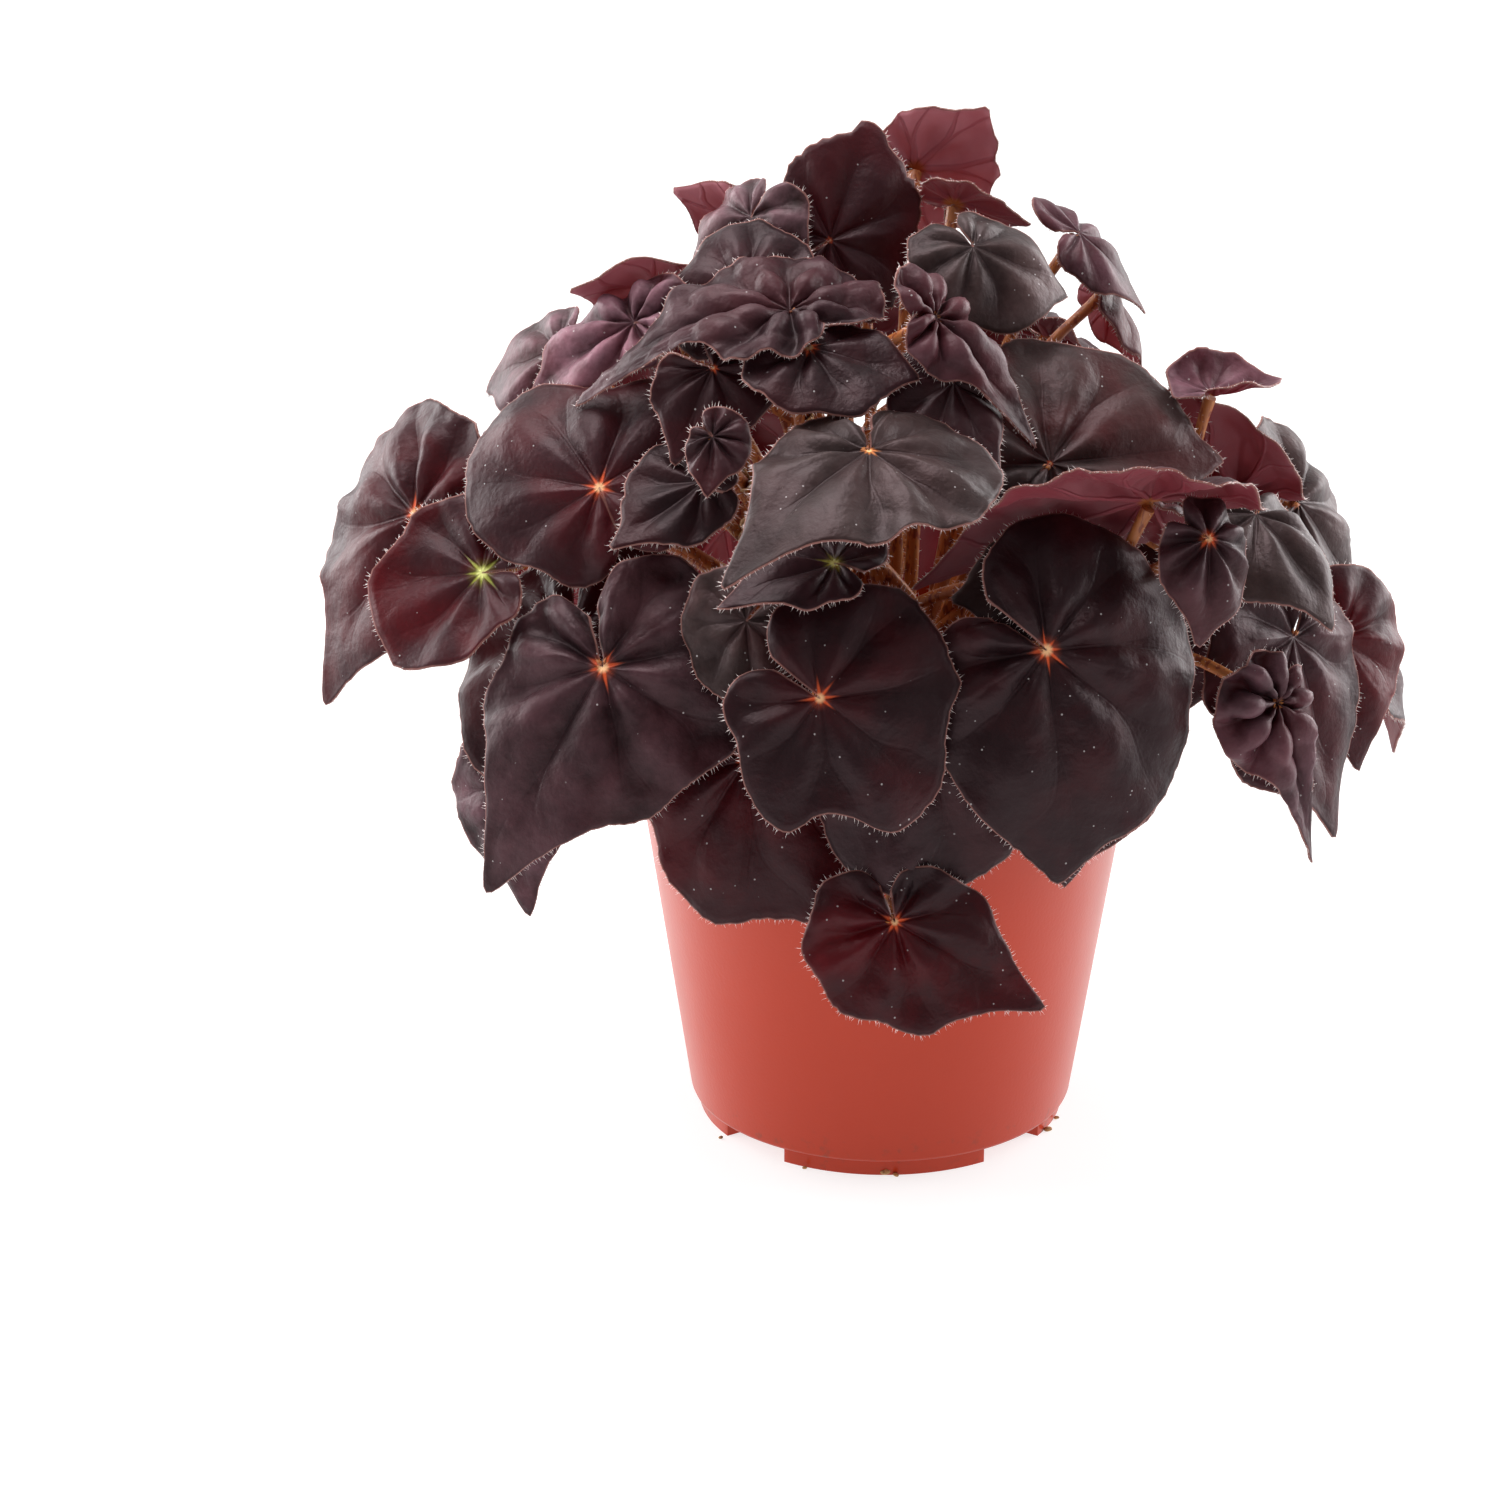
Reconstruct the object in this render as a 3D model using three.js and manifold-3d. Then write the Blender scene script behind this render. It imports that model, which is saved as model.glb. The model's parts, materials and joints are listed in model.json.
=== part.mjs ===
// Potted begonia: a round plastic pot, its soil, one crown with all the leaf stalks, and single leaves.
// Millimetres, +Z up. The origin is on the pot's axis, at the level the pot stands on.
// The side seen in a front view faces -Y, and +X is to its right.
import * as THREE from 'three';
import { mergeVertices } from 'three/addons/utils/BufferGeometryUtils.js';
import Module from 'manifold-3d';

const wasm = await Module();
wasm.setup();

const DEGREE = Math.PI / 180;
const TURN = 2 * Math.PI;

// Pot
const POT_HEIGHT = 105;
const POT_BASE_RADIUS = 44;
const POT_NECK_RADIUS = 56.6;
const POT_RIM_RADIUS = 60;
const POT_COLLAR_HEIGHT = 15;
const POT_WALL = 1.6;
const POT_SIDES = 36;
const EDGE_BEVEL = 0.5;
const COLLAR_STEP = 1.5;
const COLLAR_SLANT = 0.8;
const FOOT_HEIGHT = 4;
const FOOT_INSET = 2;
const FOOT_DEPTH = 6;
const FOOT_COUNT = 4;
const FOOT_SPAN = 64 * DEGREE;
const FOOT_CORNERS = 6;
const FLOOR_THICKNESS = 1.8;
const DRAIN_COUNT = 6;
const DRAIN_RADIUS = 4;
const DRAIN_CIRCLE = 27;
const DRAIN_SIDES = 8;

// Soil and the crown that stands in a plain hole in it
const GAP = 0.3;
const SOIL_LEVEL = 95;
const SOIL_CROWN = 2.5;
const SOIL_FLAT = 4;
const SOIL_SLOPE = 10;
const SOIL_SIDES = 24;
const CROWN_RADIUS = 24;
const CROWN_TOP = 101;
const CROWN_FOOT = 88;
const CROWN_ROUND = 4;
const CROWN_SIDES = 16;
const HOLE_DEPTH = 20;
const HOLE_SIDES = 20;

// Stalks
const STALK_RADIUS = 1.5;
const STALK_SIDES = 4;
const STALK_STEPS = 5;
const STALK_SINK = 4;
const STALK_END_GAP = 0.4;
const END_STRETCH = 0.8;
// Ways up that a stalk may take: how many degrees round it starts, how steeply it rises, how far out it
// starts as a share of its star's distance, and how far behind its blade it bends in
const ROUTE_SWINGS = [0, 25, -25, 50, -50, 80, -80];
const ROUTE_LIFTS = [0.35, 0.55, 0.8, 1.1];
const ROUTE_ROOTS = [0.18, 0.08];
const ROUTE_APPROACHES = [0.3, 0.5];
const ROUTE_SPREAD = 0.5;
const LOWEST_BEND = 10;
const LOW_STAR = 25;
const RIM_PASS = 28;
// What a way up is charged for: its length, places by the pot and places near blades
const LENGTH_COST = 0.02;
const POT_COST = 40;
const RIM_BERTH = 4;
const WALL_BERTH = 3;
const BLADE_BERTH = 5;
const STAR_WEIGHT = 1.2;
const LEAST_WEIGHT = 0.1;
const COST_SPACING = 4;
const LEAST_COST_PLACES = 8;

// Blades: thickness, rings from the star to the margin, and one spoke every 22.5 degrees.
// Every second spoke is a vein, and the others lie on the bulges between veins.
const BLADE_THICKNESS = 0.7;
const RINGS = [0.34, 0.68, 1];
const SPOKE_STEP = 22.5 * DEGREE;
// Reach of the margin as a share of the midrib, for spokes away from the midrib on either side
const BROAD_REACH = [0.83, 0.74, 0.705, 0.69, 0.67, 0.63, 0.59, 0.54, 0.47, 0.33];
const NARROW_REACH = [0.76, 0.63, 0.54, 0.47, 0.4, 0.26];
// The same for blunt blades, which have hardly a tip
const BROAD_BLUNT_REACH = [0.97, 0.91, 0.82, 0.77, 0.74, 0.71, 0.66, 0.59, 0.5, 0.38];
const NARROW_BLUNT_REACH = [0.85, 0.68, 0.58, 0.51, 0.44, 0.32];
// Spokes this far from the midrib, and more, belong to the lobes beside the slit
const LOBE_START = 60 * DEGREE;
const LOBE_FULL = 120 * DEGREE;
const SLIT_HALF_GAP = 5 * DEGREE;
const MARGIN_WAVE = 0.035;
// The bulges between veins fall off again towards the margin, and a blade's mean half width is this share
// of its length
const BULGE_SPAN = 0.8;
const HALF_WIDTH = 0.62;
const HARDLY_BENT = 1e-6;
const HARDLY_APART = 1e-4;

// How blades are bent clear of each other while they grow from buds to full size
const GROWTH_STEPS = 64;
const SETTLES_PER_STEP = 2;
const LAST_SETTLES = 40;
const BLADE_CLEARANCE = 1.75;
const STALK_CLEARANCE = 3;
const WALL_CLEARANCE = 1.3;
const BEND_SPREAD = 0.35;
const STALK_FREE_END = 4;
const OWN_STALK_SLOPE = 0.5;
const STALK_PLACE_SPACING = 2.5;
const OWN_BLADE_REACH = 12;
const PAIR_SHARE = 0.75;
const EDGE_PROBES = [0.25, 0.5, 0.75];

// Colour and roughness of each finish
const FINISHES = {
  dark: [0x3b2a2e, 0.55],
  red: [0x5d2127, 0.55],
  grey: [0x5c5a55, 0.55],
  stalk: [0xb8763c, 0.6],
  soil: [0x2e211b, 0.95],
  pot: [0xb9593f, 0.6],
};

// Leaves, each with the place of its star, where stalk and blade meet; the compass way its face looks,
// 0 to the front, 90 to the right and 180 to the back, and how far up; how far its tip is turned from
// straight downhill, to the right as the face is seen; its length from star to tip; and its broad side,
// 1 on the right and -1 on the left. width widens or narrows the outline, droop bends it along its
// length, sides folds its halves down, both in degrees, and ruffle is the height of its bulges as a
// share of its length. blunt rounds the outline, from 0 to 1, and lobes lengthens the lobes beside the slit.
const LEAVES = [
  leaf('front_left_great', [-61, -68, 132], [-15, 28], -26, 53, 1,
    { droop: 28, sides: 40, width: 0.84, lobes: 1.15 }),
  leaf('front_right_great', [31, -74, 138], [14, 28], 2, 48, 1,
    { droop: 40, sides: 30, blunt: 0.9, lobes: 1.05 }),
  leaf('front_middle', [-16, -86, 132], [4, 24], 6, 23, 1,
    { droop: 15, sides: 10, width: 1.5, blunt: 1, lobes: 1.2 }),
  leaf('front_low_red', [-31, -68, 111], [-4, 16], 14, 34, 1,
    { droop: 15, sides: 15, width: 1.3, blunt: 0.9, lobes: 1.2, tone: 'red' }),
  leaf('front_lowest', [0, -84, 81], [6, 20], 58, 35, -1,
    { droop: 10, sides: 15, width: 0.85, blunt: 0.4 }),
  leaf('front_low_ridged', [8, -76, 118], [4, 14], 6, 33, -1,
    { droop: 20, sides: 35, width: 1.15, blunt: 1, ruffle: 0.05 }),
  leaf('front_low_hidden', [43, -66, 115], [18, 14], -14, 31, 1,
    { droop: 20, sides: 25, width: 0.95, tone: 'red' }),
  leaf('front_high', [-6, -70, 180], [6, 75], -50, 42, 1,
    { droop: 35, sides: 20, width: 0.86, lobes: 1.2, tone: 'grey' }),
  leaf('front_under', [-13, -74, 157], [0, 66], -68, 24, -1, { droop: 10, sides: 10, width: 0.9 }),
  leaf('left_high', [-62, -46, 164], [-15, 38], -98, 33, -1,
    { droop: 30, sides: 20, width: 1.15, blunt: 1, lobes: 1.25, tone: 'red' }),
  leaf('left_yellow_star', [-87, -46, 145], [-30, 40], -30, 26, -1,
    { droop: 5, sides: -15, width: 1.1, blunt: 0.8, lobes: 0.95, tone: 'red' }),
  leaf('left_outer', [-103, -22, 150], [-42, 25], -22, 48, -1,
    { droop: 20, sides: 36, width: 0.88, tone: 'red' }),
  leaf('left_under', [-68, -42, 130], [-30, 32], -30, 37, 1,
    { droop: 20, sides: 20, width: 1.1, blunt: 0.7, lobes: 1.1, tone: 'red' }),
  leaf('left_lowest', [-82, -44, 94], [-24, 10], 8, 27, -1, { droop: 20, sides: 30, width: 0.9 }),
  leaf('top_arch', [-22, -34, 199], [-10, 78], -76, 50, -1,
    { droop: 50, sides: 30, width: 0.72, ruffle: 0.05 }),
  leaf('top_dark', [-18, -44, 194], [2, 62], 74, 23, -1, { droop: 15, sides: 15, blunt: 0.6 }),
  leaf('top_left_dark', [-38, -42, 189], [-8, 36], -16, 22, 1, { droop: 20, sides: 20, tone: 'red' }),
  leaf('small_ribbed', [-38, -58, 179], [-10, 36], 0, 12, 1, { sides: 40, ruffle: 0.12 }),
  leaf('middle_shadow', [-40, -54, 168], [-14, 44], -44, 22, -1, { sides: 20 }),
  leaf('front_strip', [-31, -70, 143], [-10, 20], 8, 22, -1, { droop: 15, sides: 30, tone: 'grey' }),
  leaf('front_nook', [32, -62, 151], [-8, 34], -70, 20, 1, { sides: 20, blunt: 0.5, tone: 'grey' }),
  leaf('right_mottled', [33, -42, 168], [14, 36], 88, 40, 1,
    { droop: 20, sides: 20, width: 1.02, blunt: 0.5, tone: 'grey' }),
  leaf('right_folded', [53, -54, 164], [172, 56], 76, 50, 1,
    { droop: 30, sides: 10, width: 0.9, tone: 'red' }),
  leaf('right_umbrella', [64, -70, 161], [24, 36], -10, 22, 1, { droop: 50, sides: 60, ruffle: 0.09 }),
  leaf('right_strip', [77, -40, 156], [30, 68], 14, 29, -1, { droop: 50, sides: 55, tone: 'grey' }),
  leaf('right_great', [87, -34, 126], [46, 18], 8, 44, -1,
    { droop: 15, sides: 20, width: 0.85, blunt: 0.9 }),
  leaf('right_corrugated', [81, -60, 121], [42, 14], 14, 37, -1,
    { droop: 15, sides: 90, width: 0.6, ruffle: 0.09 }),
  leaf('right_red', [99, -20, 121], [24, 22], 6, 29, 1, { droop: 20, sides: 30, width: 0.95, tone: 'red' }),
  leaf('right_shadow', [70, -18, 138], [16, 16], -10, 32, 1,
    { droop: 20, sides: 20, blunt: 0.8, tone: 'red' }),
  leaf('right_grey', [90, -8, 148], [50, 26], 30, 33, 1, { droop: 30, sides: 40, tone: 'grey' }),
  leaf('right_crimson', [76, -8, 148], [160, 32], 170, 38, -1, { droop: 20, sides: 25, tone: 'red' }),
  leaf('right_small', [68, -24, 178], [10, 82], 102, 16, 1, { droop: -5, sides: -85, tone: 'red' }),
  leaf('high_ribbed', [8, -46, 201], [50, 34], 22, 33, 1,
    { droop: 15, sides: 85, width: 0.68, ruffle: 0.08 }),
  leaf('high_shadow', [12, -46, 187], [10, 50], 20, 21, -1, { sides: 20 }),
  leaf('high_grey', [17, -20, 209], [20, 48], 66, 24, -1,
    { droop: 40, sides: 50, width: 0.95, blunt: 1, tone: 'grey' }),
  leaf('high_right_hanging', [41, 2, 206], [60, 50], 22, 22, 1, { droop: 30, sides: 55, tone: 'red' }),
  leaf('high_right_tail', [49, 14, 190], [115, 25], -16, 22, -1, { droop: 20, sides: 60, tone: 'red' }),
  leaf('summit_dark', [-13, -4, 206], [4, 14], 160, 26, -1,
    { droop: 10, sides: 15, width: 1.15, tone: 'red' }),
  leaf('summit_back', [6, 22, 215], [175, 20], -138, 22, 1,
    { droop: 10, sides: 15, width: 1.1, tone: 'red' }),
  leaf('summit_right', [14, 4, 212], [165, 40], -84, 16, -1, { droop: 20, sides: 20, tone: 'red' }),
  leaf('summit_left_tip', [-31, 24, 202], [172, 24], 118, 17, 1, { sides: 15, tone: 'red' }),
  leaf('summit_left_grey', [-30, 0, 210], [-40, 34], -58, 25, 1, { droop: 50, sides: 50, tone: 'grey' }),
  leaf('summit_low', [-31, -22, 200], [-14, 34], -86, 29, -1, { droop: 25, sides: 30 }),
  leaf('high_left_grey', [-72, -6, 182], [-50, 38], -62, 26, 1, { droop: 30, sides: 30, tone: 'grey' }),
  leaf('high_left_red', [-48, -6, 193], [-165, 40], 104, 22, 1, { droop: 15, sides: 20, tone: 'red' }),
  leaf('high_left_pink', [-55, -19, 192], [-30, 44], -52, 27, -1,
    { droop: 25, sides: 40, ruffle: 0.08, tone: 'red' }),
  leaf('back_left_high', [-50, 38, 178], [-130, 44], -20, 49, 1, { droop: 40, sides: 38 }),
  leaf('back_left_outer', [-90, 32, 148], [-112, 34], 14, 49, 1, { droop: 38, sides: 38 }),
  leaf('back_left_low', [-82, 55, 112], [-128, 24], -12, 47, -1, { droop: 30, sides: 35, tone: 'red' }),
  leaf('back_left_middle', [-47, 68, 148], [-148, 36], 10, 51, -1, { droop: 38, sides: 38 }),
  leaf('back_high', [-4, 43, 195], [178, 58], -16, 51, 1, { droop: 46, sides: 38, tone: 'grey' }),
  leaf('back_middle', [10, 82, 124], [174, 26], 6, 50, -1, { droop: 34, sides: 38 }),
  leaf('back_low', [-36, 84, 112], [-166, 20], -10, 46, 1, { droop: 28, sides: 35, tone: 'red' }),
  leaf('back_right_high', [38, 50, 168], [138, 44], 18, 46, -1, { droop: 42, sides: 38 }),
  leaf('back_right_middle', [54, 62, 146], [142, 34], -12, 51, 1, { droop: 38, sides: 38, tone: 'red' }),
  leaf('back_right_outer', [105, 32, 116], [102, 38], 8, 48, -1, { droop: 30, sides: 38 }),
  leaf('back_right_low', [62, 70, 106], [138, 20], -10, 47, 1, { droop: 28, sides: 35 }),
];

function leaf(name, star, face, turn, length, broadSide, shape) {
  const { width = 1, blunt = 0, lobes = 1, droop = 0, sides = 0, ruffle = 0.03, tone = 'dark' } = shape;
  const place = new THREE.Vector3(...star);
  const outline = { length, broadSide, width, blunt, lobes };
  return { name, star: place, face, turn, ...outline, droop, sides, ruffle, tone };
}

// Spokes of the open fan, from the narrow lobe round the tip to the broad lobe
const NARROW_COUNT = NARROW_REACH.length;
const BLUNT_REACH = [...NARROW_BLUNT_REACH].reverse().concat([1], BROAD_BLUNT_REACH);
const SPOKES = [...NARROW_REACH].reverse().concat([1], BROAD_REACH).map((reach, index, all) => {
  const steps = index - NARROW_COUNT;
  const onSlit = index === 0 ? 1 : index === all.length - 1 ? -1 : 0;
  const angle = steps * SPOKE_STEP + onSlit * SLIT_HALF_GAP;
  const lobeShare = THREE.MathUtils.smoothstep(Math.abs(angle), LOBE_START, LOBE_FULL);
  return { angle, reach, bluntReach: BLUNT_REACH[index], lobeShare, isVein: steps % 2 === 0 };
});
const POINTS_PER_BLADE = 1 + RINGS.length * SPOKES.length;

function pointIndex(ring, spoke) {
  return 1 + ring * SPOKES.length + spoke;
}

// Triangles of one face of a blade, counterclockwise seen from above
const FACE_TRIANGLES = [];
for (let spoke = 0; spoke < SPOKES.length - 1; spoke++) {
  FACE_TRIANGLES.push([0, pointIndex(0, spoke), pointIndex(0, spoke + 1)]);
  for (let ring = 0; ring < RINGS.length - 1; ring++) {
    const inner = [pointIndex(ring, spoke), pointIndex(ring, spoke + 1)];
    const outer = [pointIndex(ring + 1, spoke), pointIndex(ring + 1, spoke + 1)];
    if (SPOKES[spoke].isVein) {
      FACE_TRIANGLES.push([inner[0], outer[0], outer[1]], [inner[0], outer[1], inner[1]]);
    } else {
      FACE_TRIANGLES.push([inner[0], outer[0], inner[1]], [inner[1], outer[0], outer[1]]);
    }
  }
}

// The blade's edge as a closed loop of points: out along one side of the slit, round the margin and back
const EDGE_LOOP = [0];
RINGS.forEach((_, ring) => EDGE_LOOP.push(pointIndex(ring, 0)));
for (let spoke = 1; spoke < SPOKES.length; spoke++) EDGE_LOOP.push(pointIndex(RINGS.length - 1, spoke));
for (let ring = RINGS.length - 2; ring >= 0; ring--) EDGE_LOOP.push(pointIndex(ring, SPOKES.length - 1));

const NEIGHBOURS = Array.from({ length: POINTS_PER_BLADE }, () => new Set());
for (const [a, b, c] of FACE_TRIANGLES) {
  NEIGHBOURS[a].add(b).add(c);
  NEIGHBOURS[b].add(a).add(c);
  NEIGHBOURS[c].add(a).add(b);
}

// Places on a blade that are kept clear of its neighbours, each as three points and their weights
const PROBES = [];
for (let point = 0; point < POINTS_PER_BLADE; point++) PROBES.push([point, point, point, 1, 0, 0]);
for (const [a, b, c] of FACE_TRIANGLES) PROBES.push([a, b, c, 1 / 3, 1 / 3, 1 / 3]);
EDGE_LOOP.forEach((from, index) => {
  const to = EDGE_LOOP[(index + 1) % EDGE_LOOP.length];
  for (const share of EDGE_PROBES) PROBES.push([from, to, to, 1 - share, share, 0]);
});
for (const [a, b, c] of FACE_TRIANGLES) {
  const corners = [[a, b], [b, c], [c, a]];
  if (a > SPOKES.length) for (const [from, to] of corners) PROBES.push([from, to, to, 0.5, 0.5, 0]);
}

// A point of the blade in its own frame: x along the midrib, y to its right as the face is seen with its tip
// down, z up from the face
function bladePoint(shape, ringShare, spoke) {
  const wave = 1 + (spoke.isVein ? MARGIN_WAVE : -MARGIN_WAVE) * ringShare;
  const spread = spoke.angle === 0 ? 1 : shape.width;
  const outline = THREE.MathUtils.lerp(spoke.reach, spoke.bluntReach, shape.blunt);
  const lobe = THREE.MathUtils.lerp(1, shape.lobes, spoke.lobeShare);
  const reach = shape.length * outline * lobe * spread * ringShare * wave;
  const x = reach * Math.cos(spoke.angle);
  const y = reach * Math.sin(spoke.angle) * shape.broadSide;
  const bulge = spoke.isVein ? -0.5 : 0.5;
  const z = bulge * shape.ruffle * shape.length * Math.sin(Math.PI * BULGE_SPAN * ringShare);
  // The halves bend down from the midrib, then the whole blade bends down along its length
  const [across, rise] = bend(y, z, shape.sides * DEGREE, HALF_WIDTH * shape.length);
  const [along, height] = bend(x, rise, shape.droop * DEGREE, shape.length);
  return new THREE.Vector3(along, across, height);
}

// A point at a distance along a strip and a height over it, once the strip is bent down by an angle
function bend(distance, height, angle, span) {
  const curve = angle / span || HARDLY_BENT;
  const radius = 1 / curve + height;
  return [Math.sin(distance * curve) * radius, Math.cos(distance * curve) * radius - 1 / curve];
}

// Axes of a blade: along the midrib, to its right, and out of the upper face
function bladeAxes({ face: [compass, up], turn }) {
  const [east, rise] = [compass * DEGREE, up * DEGREE];
  const outward = new THREE.Vector3(Math.sin(east), -Math.cos(east), 0);
  const normal = outward.clone().multiplyScalar(Math.cos(rise)).setZ(Math.sin(rise));
  const downhill = outward.clone().multiplyScalar(Math.sin(rise)).setZ(-Math.cos(rise));
  const midrib = downhill.applyAxisAngle(normal, turn * DEGREE);
  return new THREE.Matrix4().makeBasis(midrib, new THREE.Vector3().crossVectors(normal, midrib), normal);
}

function startBlade(shape) {
  const axes = bladeAxes(shape);
  const full = [new THREE.Vector3()];
  for (const ringShare of RINGS) {
    for (const spoke of SPOKES) full.push(bladePoint(shape, ringShare, spoke).applyMatrix4(axes));
  }
  const normal = new THREE.Vector3().setFromMatrixColumn(axes, 2);
  return {
    ...shape,
    full,
    normal,
    points: full.map(() => shape.star.clone()),
    shifts: full.map(() => new THREE.Vector3()),
    box: new THREE.Box3(),
    spheres: FACE_TRIANGLES.map(() => new THREE.Sphere()),
  };
}

function growTo(blade, size) {
  blade.points.forEach((point, index) => {
    point.copy(blade.star).addScaledVector(blade.full[index], size).add(blade.shifts[index]);
  });
}

function measure(blade, margin) {
  blade.box.setFromPoints(blade.points).expandByScalar(margin);
  FACE_TRIANGLES.forEach(([a, b, c], index) => {
    const sphere = blade.spheres[index];
    sphere.center.copy(blade.points[a]).add(blade.points[b]).add(blade.points[c]).divideScalar(3);
    sphere.radius = margin + Math.sqrt(Math.max(
      sphere.center.distanceToSquared(blade.points[a]),
      sphere.center.distanceToSquared(blade.points[b]),
      sphere.center.distanceToSquared(blade.points[c]),
    ));
  });
}

// The star stays where its stalk holds it, and the innermost ring gives half as much as the rest
function give(point) {
  if (point === 0) return 0;
  return point <= SPOKES.length ? 0.5 : 1;
}

const triangle = new THREE.Triangle();
const nearest = new THREE.Vector3();
const weights = new THREE.Vector3();
const push = new THREE.Vector3();

// Pushes a blade away from a place until it is clear by the given distance. Returns the push that is left
// for the place itself, as a vector in push, or false when nothing was too near.
function clearBladeFrom(blade, place, distance, share) {
  if (!blade.box.containsPoint(place)) return false;
  let bestDistance = distance;
  let bestTriangle = null;
  for (let index = 0; index < FACE_TRIANGLES.length; index++) {
    const sphere = blade.spheres[index];
    if (sphere.center.distanceToSquared(place) > sphere.radius * sphere.radius) continue;
    const [a, b, c] = FACE_TRIANGLES[index];
    triangle.set(blade.points[a], blade.points[b], blade.points[c]);
    triangle.closestPointToPoint(place, nearest);
    const apart = nearest.distanceTo(place);
    if (apart >= bestDistance) continue;
    bestDistance = apart;
    bestTriangle = FACE_TRIANGLES[index];
    push.subVectors(place, nearest);
    triangle.getBarycoord(nearest, weights);
  }
  if (!bestTriangle || bestDistance < HARDLY_APART) return false;
  push.multiplyScalar((distance - bestDistance) / bestDistance);
  const [a, b, c] = bestTriangle;
  blade.points[a].addScaledVector(push, -share * weights.x * give(a));
  blade.points[b].addScaledVector(push, -share * weights.y * give(b));
  blade.points[c].addScaledVector(push, -share * weights.z * give(c));
  return true;
}

const probe = new THREE.Vector3();

function clearPair(blade, other) {
  for (const [a, b, c, wa, wb, wc] of PROBES) {
    probe.copy(blade.points[a]).multiplyScalar(wa);
    probe.addScaledVector(blade.points[b], wb).addScaledVector(blade.points[c], wc);
    if (!clearBladeFrom(other, probe, BLADE_CLEARANCE, PAIR_SHARE)) continue;
    blade.points[a].addScaledVector(push, PAIR_SHARE * wa * give(a));
    blade.points[b].addScaledVector(push, PAIR_SHARE * wb * give(b));
    blade.points[c].addScaledVector(push, PAIR_SHARE * wc * give(c));
  }
}

// Radius of the pot's outside at a height, or 0 above the rim
function potRadius(height) {
  if (height > POT_HEIGHT + WALL_CLEARANCE) return 0;
  if (height > POT_HEIGHT - POT_COLLAR_HEIGHT - WALL_CLEARANCE) return POT_RIM_RADIUS;
  const share = Math.max(0, height - FOOT_HEIGHT) / (POT_HEIGHT - POT_COLLAR_HEIGHT - FOOT_HEIGHT);
  return POT_BASE_RADIUS + share * (POT_NECK_RADIUS - POT_BASE_RADIUS);
}

function clearPot(point) {
  const out = Math.hypot(point.x, point.y);
  const wall = potRadius(point.z);
  if (wall && out < wall + WALL_CLEARANCE) {
    const sideways = wall + WALL_CLEARANCE - out;
    const upwards = POT_HEIGHT + WALL_CLEARANCE - point.z;
    if (upwards < sideways) point.z += upwards;
    else point.multiply(new THREE.Vector3((out + sideways) / out, (out + sideways) / out, 1));
  }
}

// Spreads each point's shift over its neighbours, so that a push bends the blade and doesn't dent it
function spreadShifts(blade) {
  const before = blade.shifts.map((shift) => shift.clone());
  const mean = new THREE.Vector3();
  for (let point = 1; point < POINTS_PER_BLADE; point++) {
    mean.set(0, 0, 0);
    for (const neighbour of NEIGHBOURS[point]) mean.add(before[neighbour]);
    mean.divideScalar(NEIGHBOURS[point].size);
    blade.shifts[point].lerp(mean, BEND_SPREAD);
  }
}

function settle(blades, stalks, size) {
  for (const blade of blades) {
    spreadShifts(blade);
    growTo(blade, size);
    measure(blade, BLADE_CLEARANCE);
  }
  blades.forEach((blade, index) => {
    blades.forEach((other, otherIndex) => {
      if (index !== otherIndex && blade.box.intersectsBox(other.box)) clearPair(blade, other);
    });
  });
  for (const blade of blades) {
    measure(blade, STALK_CLEARANCE);
    stalks.forEach((stalk) => {
      const isOwn = stalk.name === blade.name;
      for (const [place, toStar] of stalk.places) {
        if (isOwn && toStar < STALK_FREE_END) continue;
        const distance = isOwn ? Math.min(STALK_CLEARANCE, toStar * OWN_STALK_SLOPE) : STALK_CLEARANCE;
        clearBladeFrom(blade, place, distance, 1);
      }
    });
    blade.points.forEach((point) => clearPot(point));
    blade.points.forEach((point, index) => {
      blade.shifts[index].copy(point).sub(blade.star).addScaledVector(blade.full[index], -size);
    });
    blade.shifts[0].set(0, 0, 0);
  }
}

// Ways up for a stalk: a curve that leaves the crown upwards and meets its blade from behind
function stalkRoute(blade, swing, lift, rootShare, approach) {
  const { star, normal } = blade;
  const bearing = Math.atan2(star.y, star.x) + swing * DEGREE;
  const out = Math.hypot(star.x, star.y) * rootShare;
  const start = new THREE.Vector3(out * Math.cos(bearing), out * Math.sin(bearing), CROWN_TOP - STALK_SINK);
  const span = start.distanceTo(star);
  const rise = new THREE.Vector3(start.x * ROUTE_SPREAD, start.y * ROUTE_SPREAD, span * lift);
  const low = start.clone().add(rise);
  const high = star.clone().addScaledVector(normal, -span * approach);
  const overRim = star.z < POT_HEIGHT + LOW_STAR ? POT_HEIGHT + RIM_PASS : 0;
  high.z = Math.max(high.z, CROWN_TOP + LOWEST_BEND, overRim);
  const route = new THREE.CubicBezierCurve3(start, low, high, star.clone());
  // The end stands back from the blade by as much as its slanting section needs
  const slant = star.clone().sub(route.getPoint(END_STRETCH)).normalize().dot(normal);
  const back = BLADE_THICKNESS / 2 + STALK_END_GAP + STALK_RADIUS * Math.sqrt(Math.max(0, 1 - slant * slant));
  route.v3.addScaledVector(normal, -back);
  return route;
}

function stalkRoutes(blade) {
  return ROUTE_SWINGS.flatMap((swing) => ROUTE_LIFTS.flatMap((lift) => ROUTE_ROOTS.flatMap((root) => (
    ROUTE_APPROACHES.map((approach) => stalkRoute(blade, swing, lift, root, approach))
  ))));
}

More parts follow.
